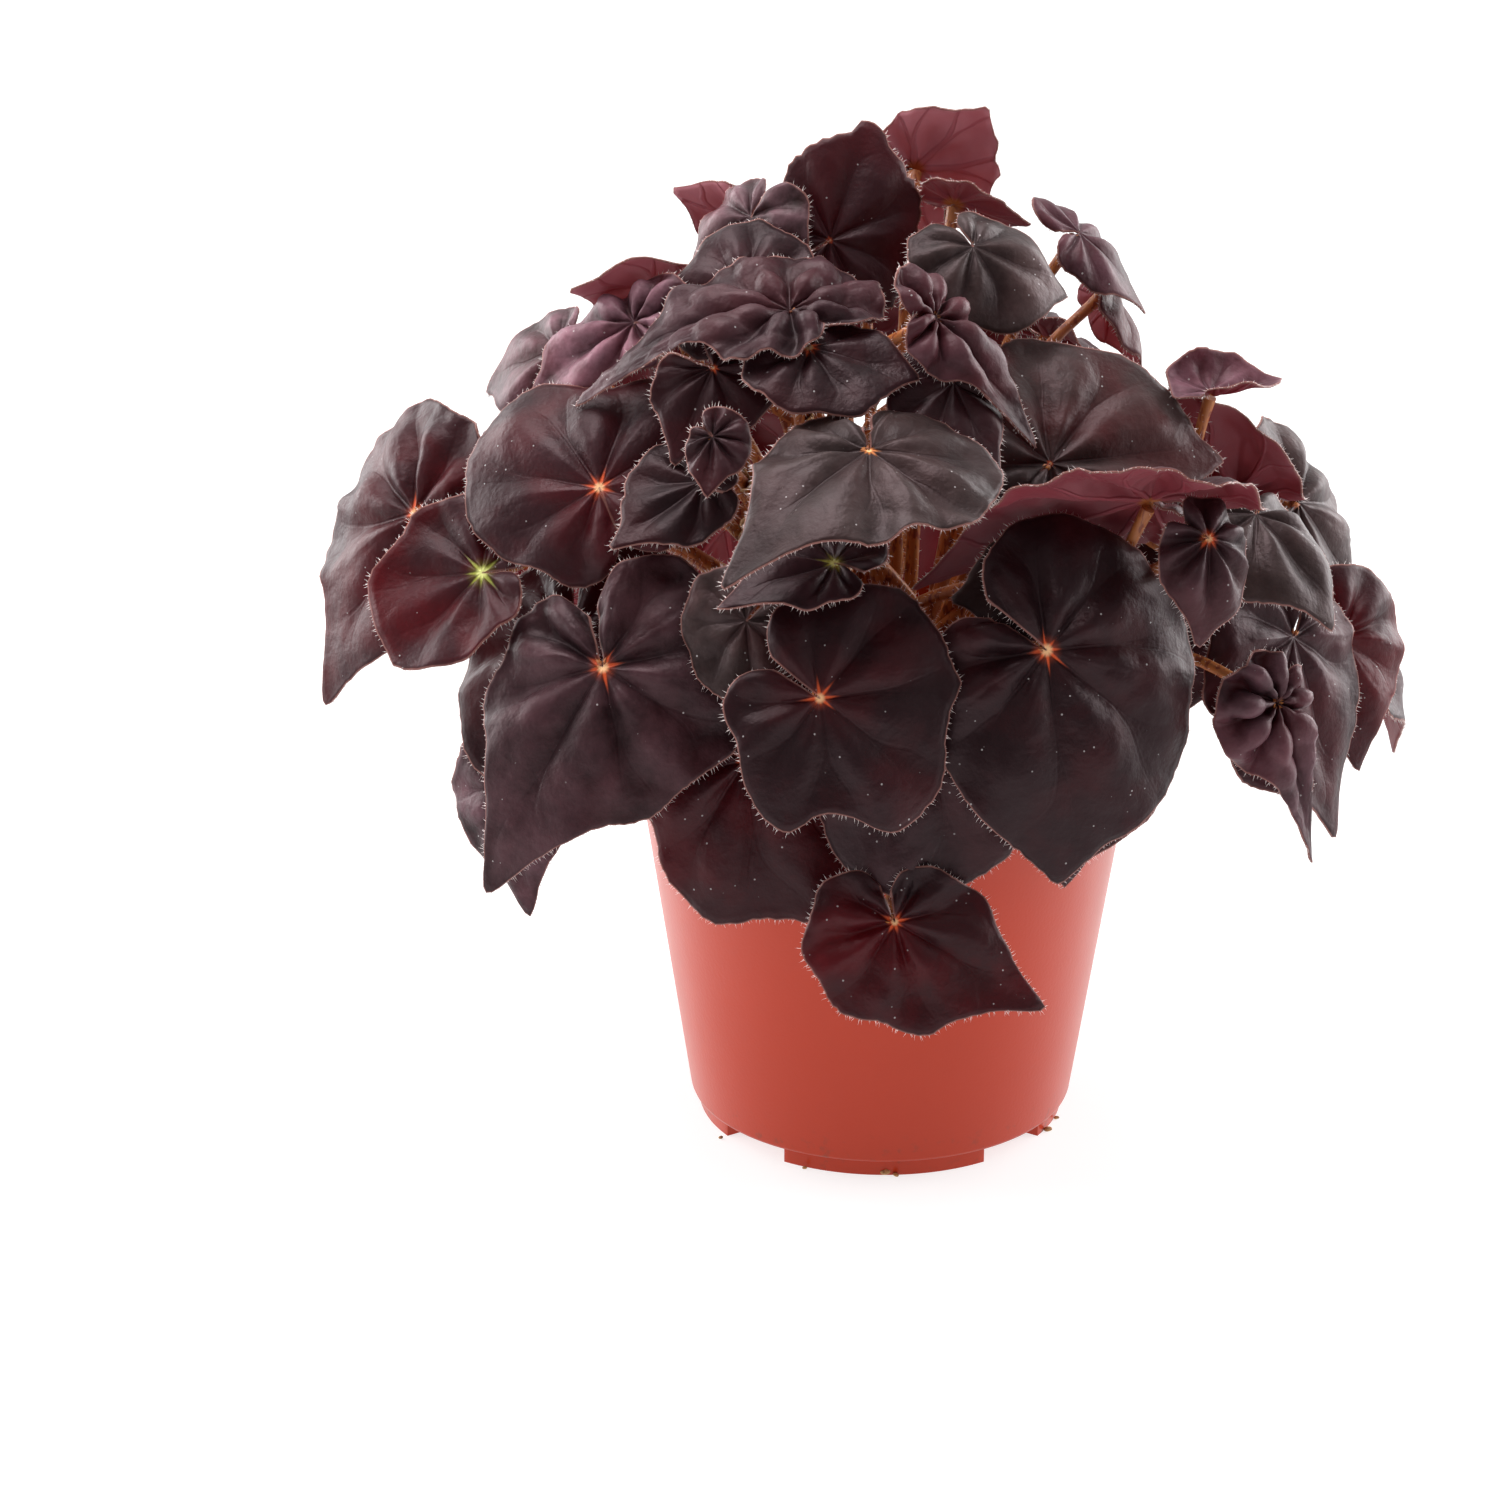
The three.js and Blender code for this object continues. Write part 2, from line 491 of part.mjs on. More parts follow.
// The clearest way is the one that runs through the fewest blades, and near their margins rather than stars
function routeCost(route, blade, blades) {
  const span = route.getLength();
  let cost = span * LENGTH_COST;
  const count = Math.max(LEAST_COST_PLACES, Math.round(span / COST_SPACING));
  for (let step = 2; step <= count; step++) {
    const place = route.getPoint(step / count);
    const out = Math.hypot(place.x, place.y);
    const wall = potRadius(place.z - STALK_RADIUS);
    const overRim = Math.abs(out - POT_RIM_RADIUS) < RIM_BERTH && place.z < POT_HEIGHT + RIM_BERTH;
    if (overRim) cost += POT_COST;
    if (wall && out < wall + WALL_BERTH && out > CROWN_RADIUS + WALL_BERTH) cost += POT_COST;
    for (const other of blades) {
      if (other === blade && place.distanceTo(blade.star) < OWN_BLADE_REACH) continue;
      if (!other.box.containsPoint(place)) continue;
      for (const [a, b, c] of FACE_TRIANGLES) {
        triangle.set(other.points[a], other.points[b], other.points[c]);
        triangle.closestPointToPoint(place, nearest);
        const apart = nearest.distanceTo(place);
        if (apart > BLADE_BERTH) continue;
        const fromStar = nearest.distanceTo(other.star) / other.length;
        cost += (BLADE_BERTH - apart) * Math.max(LEAST_WEIGHT, 1 - fromStar * STAR_WEIGHT);
      }
    }
  }
  return cost;
}

function chooseStalks(blades) {
  for (const blade of blades) {
    growTo(blade, 1);
    blade.box.setFromPoints(blade.points).expandByScalar(BLADE_BERTH);
  }
  return blades.map((blade) => {
    let best = null;
    for (const route of stalkRoutes(blade)) {
      const cost = routeCost(route, blade, blades);
      if (!best || cost < best.cost) best = { route, cost };
    }
    // Places along the stalk as it is made, which is in straight steps
    const corners = best.route.getSpacedPoints(STALK_STEPS);
    const places = [];
    for (let step = 0; step < STALK_STEPS; step++) {
      const count = Math.ceil(corners[step].distanceTo(corners[step + 1]) / STALK_PLACE_SPACING);
      for (let part = 1; part <= count; part++) {
        const place = corners[step].clone().lerp(corners[step + 1], part / count);
        places.push([place, place.distanceTo(blade.star)]);
      }
    }
    return { name: blade.name, route: best.route, places };
  });
}

// Closed solid from a geometry, and back
function toSolid(geometry) {
  const bare = new THREE.BufferGeometry();
  bare.setAttribute('position', geometry.getAttribute('position').clone());
  if (geometry.index) bare.setIndex(geometry.index.clone());
  const merged = mergeVertices(bare, HARDLY_APART);
  const mesh = new wasm.Mesh({
    numProp: 3,
    vertProperties: Float32Array.from(merged.getAttribute('position').array),
    triVerts: Uint32Array.from(merged.index.array),
  });
  return new wasm.Manifold(mesh);
}

function toGeometry(solid) {
  const { vertProperties, triVerts } = solid.getMesh();
  const geometry = new THREE.BufferGeometry();
  geometry.setAttribute('position', new THREE.BufferAttribute(Float32Array.from(vertProperties), 3));
  geometry.setIndex(new THREE.BufferAttribute(Uint32Array.from(triVerts), 1));
  return geometry;
}

function lathe(profile, sides) {
  const geometry = new THREE.LatheGeometry(profile.map(([radius, z]) => new THREE.Vector2(radius, z)), sides);
  return geometry.rotateX(Math.PI / 2);
}

function upright(radius, height, bottom, sides) {
  const geometry = new THREE.CylinderGeometry(radius, radius, height, sides);
  return geometry.rotateX(Math.PI / 2).translate(0, 0, bottom + height / 2);
}

function makePot() {
  const neck = POT_HEIGHT - POT_COLLAR_HEIGHT;
  const floor = FOOT_HEIGHT + FLOOR_THICKNESS;
  let pot = toSolid(lathe([
    [0, FOOT_HEIGHT],
    [POT_BASE_RADIUS - EDGE_BEVEL, FOOT_HEIGHT],
    [POT_BASE_RADIUS, FOOT_HEIGHT + EDGE_BEVEL],
    [POT_NECK_RADIUS, neck - COLLAR_STEP],
    [POT_RIM_RADIUS - COLLAR_SLANT, neck],
    [POT_RIM_RADIUS, POT_HEIGHT - EDGE_BEVEL],
    [POT_RIM_RADIUS - EDGE_BEVEL, POT_HEIGHT],
    [POT_RIM_RADIUS - POT_WALL, POT_HEIGHT],
    [POT_RIM_RADIUS - POT_WALL - COLLAR_SLANT, neck + COLLAR_STEP / 2],
    [POT_NECK_RADIUS - POT_WALL, neck - COLLAR_STEP],
    [POT_BASE_RADIUS - POT_WALL, floor],
    [0, floor],
  ], POT_SIDES));
  // Feet: short arcs that stand in from the wall, with gaps between them for water
  const outer = POT_BASE_RADIUS - FOOT_INSET;
  for (let index = 0; index < FOOT_COUNT; index++) {
    const middle = (index / FOOT_COUNT) * TURN - Math.PI / 2;
    const arc = new THREE.Shape();
    for (let corner = 0; corner < FOOT_CORNERS; corner++) {
      const angle = middle + FOOT_SPAN * (corner / (FOOT_CORNERS - 1) - 0.5);
      arc[corner ? 'lineTo' : 'moveTo'](outer * Math.cos(angle), outer * Math.sin(angle));
    }
    for (let corner = FOOT_CORNERS - 1; corner >= 0; corner--) {
      const angle = middle + FOOT_SPAN * (corner / (FOOT_CORNERS - 1) - 0.5);
      arc.lineTo((outer - FOOT_DEPTH) * Math.cos(angle), (outer - FOOT_DEPTH) * Math.sin(angle));
    }
    const depth = FOOT_HEIGHT + FLOOR_THICKNESS / 2;
    const foot = new THREE.ExtrudeGeometry(arc, { depth, bevelEnabled: false });
    pot = pot.add(toSolid(foot));
  }
  // Drain holes in a ring, and one in the middle
  const drains = [[0, 0]];
  for (let index = 0; index < DRAIN_COUNT; index++) {
    const angle = ((index + 0.5) / DRAIN_COUNT) * TURN;
    drains.push([DRAIN_CIRCLE * Math.cos(angle), DRAIN_CIRCLE * Math.sin(angle)]);
  }
  for (const [x, y] of drains) {
    const drain = upright(DRAIN_RADIUS, FLOOR_THICKNESS * 3, FOOT_HEIGHT - FLOOR_THICKNESS, DRAIN_SIDES);
    pot = pot.subtract(toSolid(drain.translate(x, y, 0)));
  }
  return toGeometry(pot);
}

function makeSoil() {
  const floor = FOOT_HEIGHT + FLOOR_THICKNESS + GAP;
  const neck = POT_HEIGHT - POT_COLLAR_HEIGHT;
  const soil = toSolid(lathe([
    [0, floor],
    [POT_BASE_RADIUS - POT_WALL - GAP, floor],
    [POT_NECK_RADIUS - POT_WALL - GAP, neck - COLLAR_STEP],
    [POT_NECK_RADIUS - POT_WALL, SOIL_LEVEL],
    [CROWN_RADIUS + SOIL_FLAT + SOIL_SLOPE, SOIL_LEVEL + SOIL_CROWN / 2],
    [CROWN_RADIUS + SOIL_FLAT, SOIL_LEVEL + SOIL_CROWN],
    [0, SOIL_LEVEL + SOIL_CROWN],
  ], SOIL_SIDES));
  const hole = toSolid(upright(CROWN_RADIUS + GAP, HOLE_DEPTH, CROWN_FOOT - GAP, HOLE_SIDES));
  return toGeometry(soil.subtract(hole));
}

function makeStalk({ route }) {
  const section = new THREE.Shape();
  for (let side = 0; side < STALK_SIDES; side++) {
    const angle = (side / STALK_SIDES) * TURN;
    section[side ? 'lineTo' : 'moveTo'](STALK_RADIUS * Math.cos(angle), STALK_RADIUS * Math.sin(angle));
  }
  return new THREE.ExtrudeGeometry(section, { extrudePath: route, steps: STALK_STEPS, bevelEnabled: false });
}

function makeCrown(stalks) {
  const crown = toSolid(lathe([
    [0, CROWN_FOOT],
    [CROWN_RADIUS - CROWN_ROUND, CROWN_FOOT],
    [CROWN_RADIUS - CROWN_ROUND / 4, CROWN_FOOT + CROWN_ROUND],
    [CROWN_RADIUS - CROWN_ROUND / 2, CROWN_TOP - CROWN_ROUND],
    [CROWN_RADIUS / 2, CROWN_TOP - CROWN_ROUND / 4],
    [0, CROWN_TOP],
  ], CROWN_SIDES));
  const solids = [crown, ...stalks.map((stalk) => toSolid(makeStalk(stalk)))];
  return toGeometry(wasm.Manifold.union(solids));
}

function makeBlade(blade) {
  const normals = blade.points.map(() => new THREE.Vector3());
  for (const [a, b, c] of FACE_TRIANGLES) {
    triangle.set(blade.points[a], blade.points[b], blade.points[c]);
    const facing = triangle.getNormal(new THREE.Vector3());
    for (const point of [a, b, c]) normals[point].add(facing);
  }
  // With the broad side on the left the fan runs clockwise seen from above, so its faces are turned over
  const flip = blade.broadSide < 0;
  const positions = [];
  for (const side of [1, -1]) {
    blade.points.forEach((point, index) => {
      const offset = (side * (flip ? -1 : 1) * BLADE_THICKNESS) / 2;
      positions.push(...point.clone().addScaledVector(normals[index].clone().normalize(), offset).toArray());
    });
  }
  const faces = [];
  const add = (a, b, c) => faces.push(...(flip ? [a, c, b] : [a, b, c]));
  for (const [a, b, c] of FACE_TRIANGLES) {
    add(a, b, c);
    add(a + POINTS_PER_BLADE, c + POINTS_PER_BLADE, b + POINTS_PER_BLADE);
  }
  EDGE_LOOP.forEach((from, index) => {
    const to = EDGE_LOOP[(index + 1) % EDGE_LOOP.length];
    add(from, to + POINTS_PER_BLADE, to);
    add(from, from + POINTS_PER_BLADE, to + POINTS_PER_BLADE);
  });
  const geometry = new THREE.BufferGeometry();
  geometry.setAttribute('position', new THREE.BufferAttribute(Float32Array.from(positions), 3));
  geometry.setIndex(faces);
  return geometry;
}

const blades = LEAVES.map(startBlade);
const stalks = chooseStalks(blades);
for (let step = 1; step <= GROWTH_STEPS; step++) {
  for (let round = 0; round < SETTLES_PER_STEP; round++) settle(blades, stalks, step / GROWTH_STEPS);
}
for (let round = 0; round < LAST_SETTLES; round++) settle(blades, stalks, 1);

const plant = new THREE.Group();

function addPart(name, geometry, [color, roughness]) {
  const mesh = new THREE.Mesh(geometry, new THREE.MeshStandardMaterial({ color, roughness, metalness: 0 }));
  mesh.name = name;
  plant.add(mesh);
}

addPart('pot', makePot(), FINISHES.pot);
addPart('soil', makeSoil(), FINISHES.soil);
addPart('crown_and_stalks', makeCrown(stalks), FINISHES.stalk);
for (const blade of blades) addPart(`leaf_${blade.name}`, makeBlade(blade), FINISHES[blade.tone]);

export default plant;
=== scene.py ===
import functools
import json
import math

import bmesh
import bpy
import numpy as np
from bpy.props import FloatProperty, FloatVectorProperty, IntProperty, PointerProperty
from mathutils import Matrix, Vector, kdtree, noise

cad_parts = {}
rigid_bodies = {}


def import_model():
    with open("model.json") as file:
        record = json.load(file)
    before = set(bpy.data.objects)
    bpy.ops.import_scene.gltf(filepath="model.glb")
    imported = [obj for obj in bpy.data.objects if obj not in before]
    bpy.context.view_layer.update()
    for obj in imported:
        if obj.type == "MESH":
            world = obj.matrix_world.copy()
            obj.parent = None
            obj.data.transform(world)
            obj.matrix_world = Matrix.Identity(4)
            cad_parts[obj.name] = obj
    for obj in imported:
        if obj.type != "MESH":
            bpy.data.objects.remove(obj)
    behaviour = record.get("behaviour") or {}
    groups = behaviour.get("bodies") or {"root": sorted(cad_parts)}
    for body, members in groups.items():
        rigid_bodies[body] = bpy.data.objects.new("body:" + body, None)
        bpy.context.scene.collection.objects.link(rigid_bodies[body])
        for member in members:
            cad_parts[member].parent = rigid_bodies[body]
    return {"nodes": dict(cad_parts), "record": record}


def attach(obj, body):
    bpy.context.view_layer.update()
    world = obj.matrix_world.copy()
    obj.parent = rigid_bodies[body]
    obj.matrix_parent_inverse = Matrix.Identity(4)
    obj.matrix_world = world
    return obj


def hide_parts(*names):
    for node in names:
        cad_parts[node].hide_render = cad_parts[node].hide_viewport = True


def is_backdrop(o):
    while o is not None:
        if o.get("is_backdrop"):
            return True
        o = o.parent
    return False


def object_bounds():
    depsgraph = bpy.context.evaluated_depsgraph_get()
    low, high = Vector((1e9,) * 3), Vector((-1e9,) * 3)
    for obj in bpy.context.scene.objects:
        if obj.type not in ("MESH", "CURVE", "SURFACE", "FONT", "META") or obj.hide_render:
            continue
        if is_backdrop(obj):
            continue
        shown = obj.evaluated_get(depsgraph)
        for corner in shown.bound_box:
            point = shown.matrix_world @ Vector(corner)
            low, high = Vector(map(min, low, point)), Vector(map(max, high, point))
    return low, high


bl_info = {
    "name": "Potted Begonia",
    "version": (1, 0, 0),
    "blender": (4, 5, 0),
    "location": "View3D > Sidebar > Begonia",
    "description": "Dresses a packed begonia: leaf blades, stalks, hairs, soil, pot and stage",
    "category": "Object",
}

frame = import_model()
CAD_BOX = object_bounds()
NODES = frame["nodes"]
SLOT_OF_NODE = {part["node"]: part["material_slot"] for part in frame["record"]["subparts"]}
LEAF_NODES = sorted(name for name in NODES if name.startswith("leaf_"))

MM = 0.001
DEGREE = math.pi / 180
SEED = 20

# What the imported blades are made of: a star, three rings and seventeen spokes on each face
BLADE_WALL = 0.7 * MM
WALL_TOLERANCE = 0.002 * MM
MERGE_DISTANCE = 0.001 * MM
RING_SHARES = np.array([0, 0.34, 0.68, 1])
SPOKE_COUNT = 17
EDGE_RUNGS = 22
TIP_SPOKE = 6
SPOKE_STEP = 22.5
SLIT_HALF_GAP = 5
SPOKE_ANGLES = (np.arange(SPOKE_COUNT) - TIP_SPOKE) * SPOKE_STEP
SPOKE_ANGLES[0] += SLIT_HALF_GAP
SPOKE_ANGLES[-1] -= SLIT_HALF_GAP
VEIN_STEP = 2 * SPOKE_STEP

# Every vein forks this share of the way to the margin, by up to this share of the step between veins
FORK_START = 0.42
FORK_SPREAD = 0.25

# The margin, in shares of a blade's length and in degrees from its tip: the tip is drawn out between two
# hollows, and the lobes fall back towards the slit
TIP_STRETCH = 0.05
TIP_SPREAD = 3.5
HOLLOW_ANGLE = 11
HOLLOW_SPREAD = 6
LOBE_FALL = 0.16
LOBE_SPREAD = 16
WAVE_HEIGHT = 0.025
WAVES_ROUND = 3

# A tip is drawn out in full where the spoke beside it is up to this share of its own spoke, and less and less
# over the step past that
SHARP_RATIO = 0.82
BLUNT_STEP = 0.14

# The relief: heights, widths and spacings in mm
RIPPLE_HEIGHT = 0.4
RIPPLE_SPACING = 2.2
TOOTH_SPACING = 4
CREASE_DEPTH = 0.5
CREASE_WIDTH = 2.1
SHOULDER_HEIGHT = 0.2
SHOULDER_WIDTH = 2.4
SHOULDER_PLACE = 4.2
BILLOW_HEIGHT = 0.75
RIB_SPACING = 6.5
SWELL_HEIGHT = 1.5
SWELL_SPACING = 13
CURL_HEIGHT = 1.1
CURL_SPACING = 9
STAR_DIP = 0.35
STAR_DIP_WIDTH = 3.5
FULL_RELIEF_LENGTH = 36

# How the relief varies: it rises from the star, its creases fade outwards, the blade's rim curls, ribs slant,
# veins differ in strength, and the pattern is turned by some degrees and stretched by a share here and there
RELIEF_START = 0.2
CREASE_FADE = 0.55
CURL_START = 0.7
RIB_SLANT = 0.8
VEIN_STRENGTHS = (0.45, 1.35)
WOBBLE_ANGLE = 9
WOBBLE_SCALE = 2.6
STRETCH_SHARE = 0.08
STRETCH_SCALE = 2.2

# Each use of noise on a blade has a seed of its own, this far past the leaf's number
NOISE_SEEDS = {
    "waves": 0, "ripples": 50, "teeth": 70, "wobble": 100, "stretch": 200, "curl": 300, "swell": 400}
SEED_SPACING = 7.3

# A blade's mesh: rows for each mm of its length, and the fewest and most columns and rows
ROWS_PER_LENGTH = 0.5
COLUMN_LIMITS = (72, 180)
ROW_LIMITS = (10, 26)
ROW_CROWDING = 0.92

NEARLY_BLACK = (0.008, 0.004, 0.005)
SPECK = (0.5, 0.45, 0.45)
SHEEN_OF_UPPER_FACE = (0.8, 0.6, 0.65)
SHEEN_OF_UNDERSIDE = (0.9, 0.6, 0.65)
GLOSS_OF_UPPER_FACE = (1, 0.72, 0.76)

# Distances in mm from the margin over which its pale line fades: the line is for the pale hairs and for
# painted light through the thin edge
MARGIN_LINE = (0.1, 0.42)

# The star, in mm where its size is 1: its rays' least length, how much longer they get, half their width, and
# the distances over which its halo and its core fade
LEAST_RAY = 2.2
RAY_SPREAD = 5
RAY_HALF_WIDTH = 0.42
HALO_EDGE = (0.6, 3.6)
CORE_EDGE = (0.5, 1.7)

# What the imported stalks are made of: square sections at even steps along each stalk, down to the crown
SECTION_CORNERS = 4
STALK_SECTION_RADIUS = 1.5 * MM
SECTION_TOLERANCE = 0.03 * MM
STALK_STEPS = 5
STEP_TOLERANCE = 0.06
FIRST_STEPS = [length * MM for length in range(10, 40)]

# A section that another stalk cuts is looked for about a step away. The cosine of the stalk's turn there is
# the least straightness or more, and the least approach to the crown is a share of the step
NEAR_STEPS = (0.8, 1.15)
FITTING_CORNERS = 3
LEAST_STRAIGHTNESS = 0.7
LEAST_APPROACH = 0.3
CROWN_LEVEL = 98 * MM
CROWN_REACH = 10 * MM
CROWN_MIDDLE = Vector((0, 0, CROWN_LEVEL))

# How each leaf looks, where it differs from the rest of its slot: the velvet share on the upper face, set
# leaf by leaf to how light or dark the leaf is, so that it also paints light and shade on it; the pink share,
# how far the velvet turns to a painted pink light on the leaves that catch most light; the red share, the
# colour of the red glow painted where light passes through the blade, and how much light passes through it;
# star the size of the star, green how far the star turns from orange to yellow-green; the rose share, the
# paleness of the underside, painted light that shines through it; ribs the height in mm of the folds between
# side veins, and teeth the depth in mm of the margin's teeth.
LOOKS = {
    "front_left_great": {"bloom": 1.0, "red": 0.12, "star": 1.0},
    "front_right_great": {"bloom": 0.1, "red": 0.25, "star": 1.0},
    "front_middle": {"bloom": 0.15, "red": 0.3, "star": 0.8},
    "front_low_red": {"bloom": 0.1, "red": 0.5, "star": 0.8},
    "front_lowest": {"bloom": 0.1, "red": 0.75, "star": 0.6},
    "front_low_ridged": {"bloom": 0.4, "red": 0.15, "ribs": 0.5},
    "front_high": {"bloom": 0.55, "star": 0.45, "green": 0.3},
    "front_under": {"bloom": 0.8, "red": 0.1, "star": 0.8, "green": 0.9},
    "front_strip": {"bloom": 0.8, "red": 0.3},
    "front_nook": {"bloom": 0.3},
    "left_yellow_star": {"bloom": 0.5, "red": 0.75, "star": 1.15, "green": 1.0},
    "left_high": {"bloom": 0.4, "red": 0.45, "star": 0.9},
    "left_outer": {"bloom": 0.35, "red": 0.6, "star": 1.0},
    "left_under": {"bloom": 0.0, "red": 0.4},
    "top_arch": {"bloom": 0.95, "red": 0.25, "ribs": 1.0},
    "top_dark": {"bloom": 0.35, "red": 0.25, "star": 0.7},
    "top_left_dark": {"bloom": 0.3, "red": 0.3, "star": 0.3},
    "small_ribbed": {"bloom": 0.6, "red": 0.3, "ribs": 1.0},
    "middle_shadow": {"bloom": 0.0},
    "high_left_pink": {"bloom": 1.0, "red": 0.5, "pink": 1.0, "ribs": 0.9},
    "high_left_grey": {"bloom": 1.0, "red": 0.3, "pink": 0.7},
    "high_ribbed": {"bloom": 1.0, "red": 0.4, "pink": 0.1, "ribs": 1.1},
    "high_shadow": {"bloom": 0.4},
    "high_grey": {"bloom": 1.0, "red": 0.1, "ribs": 0.1},
    "high_right_hanging": {"bloom": 1.0, "red": 0.5, "pink": 0.3},
    "high_right_tail": {"rose": 0.6},
    "summit_dark": {"bloom": 0.3, "red": 0.3, "star": 0.2, "teeth": 1.3},
    "summit_back": {"rose": 1.0, "ribs": 1.2, "teeth": 1.3},
    "summit_right": {"rose": 0.15, "teeth": 0.9},
    "summit_left_tip": {"rose": 1.0},
    "summit_left_grey": {"bloom": 1.0, "red": 0.3, "pink": 0.5, "ribs": 0.8},
    "summit_low": {"bloom": 0.6, "red": 0.2, "ribs": 0.6},
    "right_mottled": {"bloom": 0.55, "red": 0.45, "star": 0.25},
    "right_folded": {"rose": 0.12, "ribs": 0.7, "teeth": 0.7},
    "right_umbrella": {"bloom": 1.0, "red": 0.25, "star": 0.7, "ribs": 0.4},
    "right_strip": {"bloom": 0.5},
    "right_great": {"bloom": 0.75, "red": 0.35},
    "right_corrugated": {"bloom": 1.0, "red": 0.35, "pink": 0.15, "ribs": 1.1},
    "right_red": {"bloom": 0.3, "red": 0.8, "star": 1.0},
    "right_grey": {"bloom": 0.7, "red": 0.3},
    "right_crimson": {"rose": 0.15, "star": 0.8},
    "high_left_red": {"bloom": 0.4, "red": 0.5, "star": 0.6, "rose": 0.6},
    "left_lowest": {"bloom": 1.0, "red": 0.2, "star": 0.6, "pink": 0.3},
    "right_small": {"bloom": 1.0, "red": 0.5, "pink": 0.8, "star": 0.3},
}
SLOT_LOOKS = {
    "leaf_dark": {"bloom": 0.6, "red": 0.2},
    "leaf_red": {"bloom": 0.4, "red": 0.5},
    "leaf_grey": {"bloom": 0.75, "red": 0.1},
}
COMMON_LOOK = {"star": 0.0, "green": 0.0, "rose": 0.0, "pink": 0.0, "ribs": 0.25, "teeth": 0.35}
# The leaves at the back aren't listed, nor are two others that hardly show
UNLISTED_LOOK = {"star": 0.6}
PAINTED_LOOKS = ("bloom", "red", "star", "green", "rose", "pink")


def srgb(code):
    """Linear colour for a hexadecimal sRGB code."""
    parts = [((code >> shift) & 255) / 255 for shift in (16, 8, 0)]
    return tuple(c / 12.92 if c <= 0.04045 else ((c + 0.055) / 1.055) ** 2.4 for c in parts)


def colour_setting(name, code, description):
    return FloatVectorProperty(name=name, description=description, subtype="COLOR", size=3,
                               min=0, max=1, default=srgb(code))


def length_setting(name, length, description):
    """Setting for a length that is given in mm."""
    return FloatProperty(name=name, description=description, default=length * MM, unit="LENGTH")


class BegoniaFoliageSettings(bpy.types.PropertyGroup):
    """Sizes and colours of the leaves, stalks and hairs."""
    blade_thickness: length_setting("Blade thickness", 0.45, "Thickness of a leaf blade")
    columns_per_length: FloatProperty(
        name="Columns per mm", description="Columns round a blade for each mm of its length", default=3.6)
    margin_hair_length: length_setting("Hair length", 1.2, "Mean length of the hairs on margins and stalks")
    margin_hair_spacing: length_setting("Margin hair spacing", 0.75, "Mean distance between a margin's hairs")
    hair_radius: length_setting("Hair radius", 0.07, "Radius at the foot of a hair")
    stalk_foot_radius: length_setting("Stalk foot radius", 1.75, "Radius of a stalk where it meets the crown")
    stalk_end_radius: length_setting("Stalk end radius", 1.15, "Radius of a stalk under its blade")
    dark: colour_setting("Dark leaf", 0x17090C, "Upper face of the dark leaves")
    red: colour_setting("Red leaf", 0x1F080C, "Upper face of the red leaves")
    grey: colour_setting("Grey leaf", 0x1C1412, "Upper face of the grey leaves")
    # The velvet colours come in by a mask that paints sheen on the relief's ridges, in amounts set leaf by
    # leaf to how light or dark each leaf is, so they carry painted light and shade too
    bloom: colour_setting("Mauve bloom", 0x56383E, "Velvet on the dark and the red leaves")
    grey_velvet_and_light: colour_setting("Grey bloom", 0x625150, "Velvet on the grey leaves")
    # A pink light painted on the velvet of the leaves that catch most light
    painted_pink_light: colour_setting("Pink bloom", 0xBC8696, "Velvet on the leaves that catch most light")
    # Red of painted light that passes through the upper faces
    glow: colour_setting("Red glow", 0x5A0C14, "Red that shows through the upper faces")
    light: colour_setting("Passing light", 0xD82C40, "Light that passes through a blade")
    under: colour_setting("Underside", 0x741826, "Underside of the leaves")
    # Pale pink painted on the underside where light shines through it
    rose: colour_setting("Rose underside", 0xFFB0BE, "Underside of the palest leaves")
    star_core: colour_setting("Star middle", 0xF2C08E, "Middle of a star")
    star_ray: colour_setting("Star rays", 0xD8582E, "Rays of a star")
    green_core: colour_setting("Green star middle", 0xDCE08A, "Middle of a yellow-green star")
    green_ray: colour_setting("Green star rays", 0x9AA040, "Rays of a yellow-green star")
    # The margin line stands for the pale hairs and for painted light through the thin edge
    margin: colour_setting("Margin line", 0x9A6A62, "Thin line on the margin")
    stalk: colour_setting("Stalk", 0xB87038, "Stalks")
    stalk_marks: colour_setting("Stalk marks", 0x742818, "Dashes on the stalks")
    hair: colour_setting("Hair", 0xFFF4F2, "Hairs on margins and stalks")


class BegoniaPotSettings(bpy.types.PropertyGroup):
    """Sizes and colours of the pot and the soil."""
    height: length_setting("Pot height", 105, "Height of the pot with its feet")
    base_radius: length_setting("Base radius", 44, "Radius of the pot's body at its floor")
    neck_radius: length_setting("Neck radius", 56.6, "Radius of the pot's body under the collar")
    rim_radius: length_setting("Rim radius", 60, "Outer radius of the collar")
    plastic: colour_setting("Plastic", 0xB4361A, "The pot's plastic")
    soil: colour_setting("Soil", 0x2B1D16, "Potting soil")
    segments: IntProperty(
        name="Segments", description="Segments round the pot", default=144, min=24)


class BegoniaStageSettings(bpy.types.PropertyGroup):
    """Camera, lights and floor."""
    lens: FloatProperty(name="Lens", description="Focal length in mm on a 36 mm film", default=108)
    camera_place: FloatVectorProperty(
        name="Camera place", description="Where the camera stands", subtype="XYZ", unit="LENGTH",
        default=(-0.0303, -0.9445, 0.4656))
    camera_pitch: FloatProperty(
        name="Camera pitch", description="How far the camera looks down", subtype="ANGLE",
        default=21.9 * DEGREE)
    surroundings: FloatProperty(
        name="Surroundings", description="Brightness of the white surroundings", default=0.95)
    front_light: FloatProperty(
        name="Front light", description="Brightness of the surroundings before the plant", default=0.3)
    overhead_power: FloatProperty(
        name="Overhead power", description="Power of the softbox overhead in watts", default=11)
    side_power: FloatProperty(
        name="Side power", description="Power of each softbox beside the plant in watts", default=15)
    floor_glow: FloatProperty(
        name="Floor glow", description="Brightness of the floor's own light", default=0.74)
    floor: colour_setting("Floor", 0xA8A8A8, "Floor under the pot")


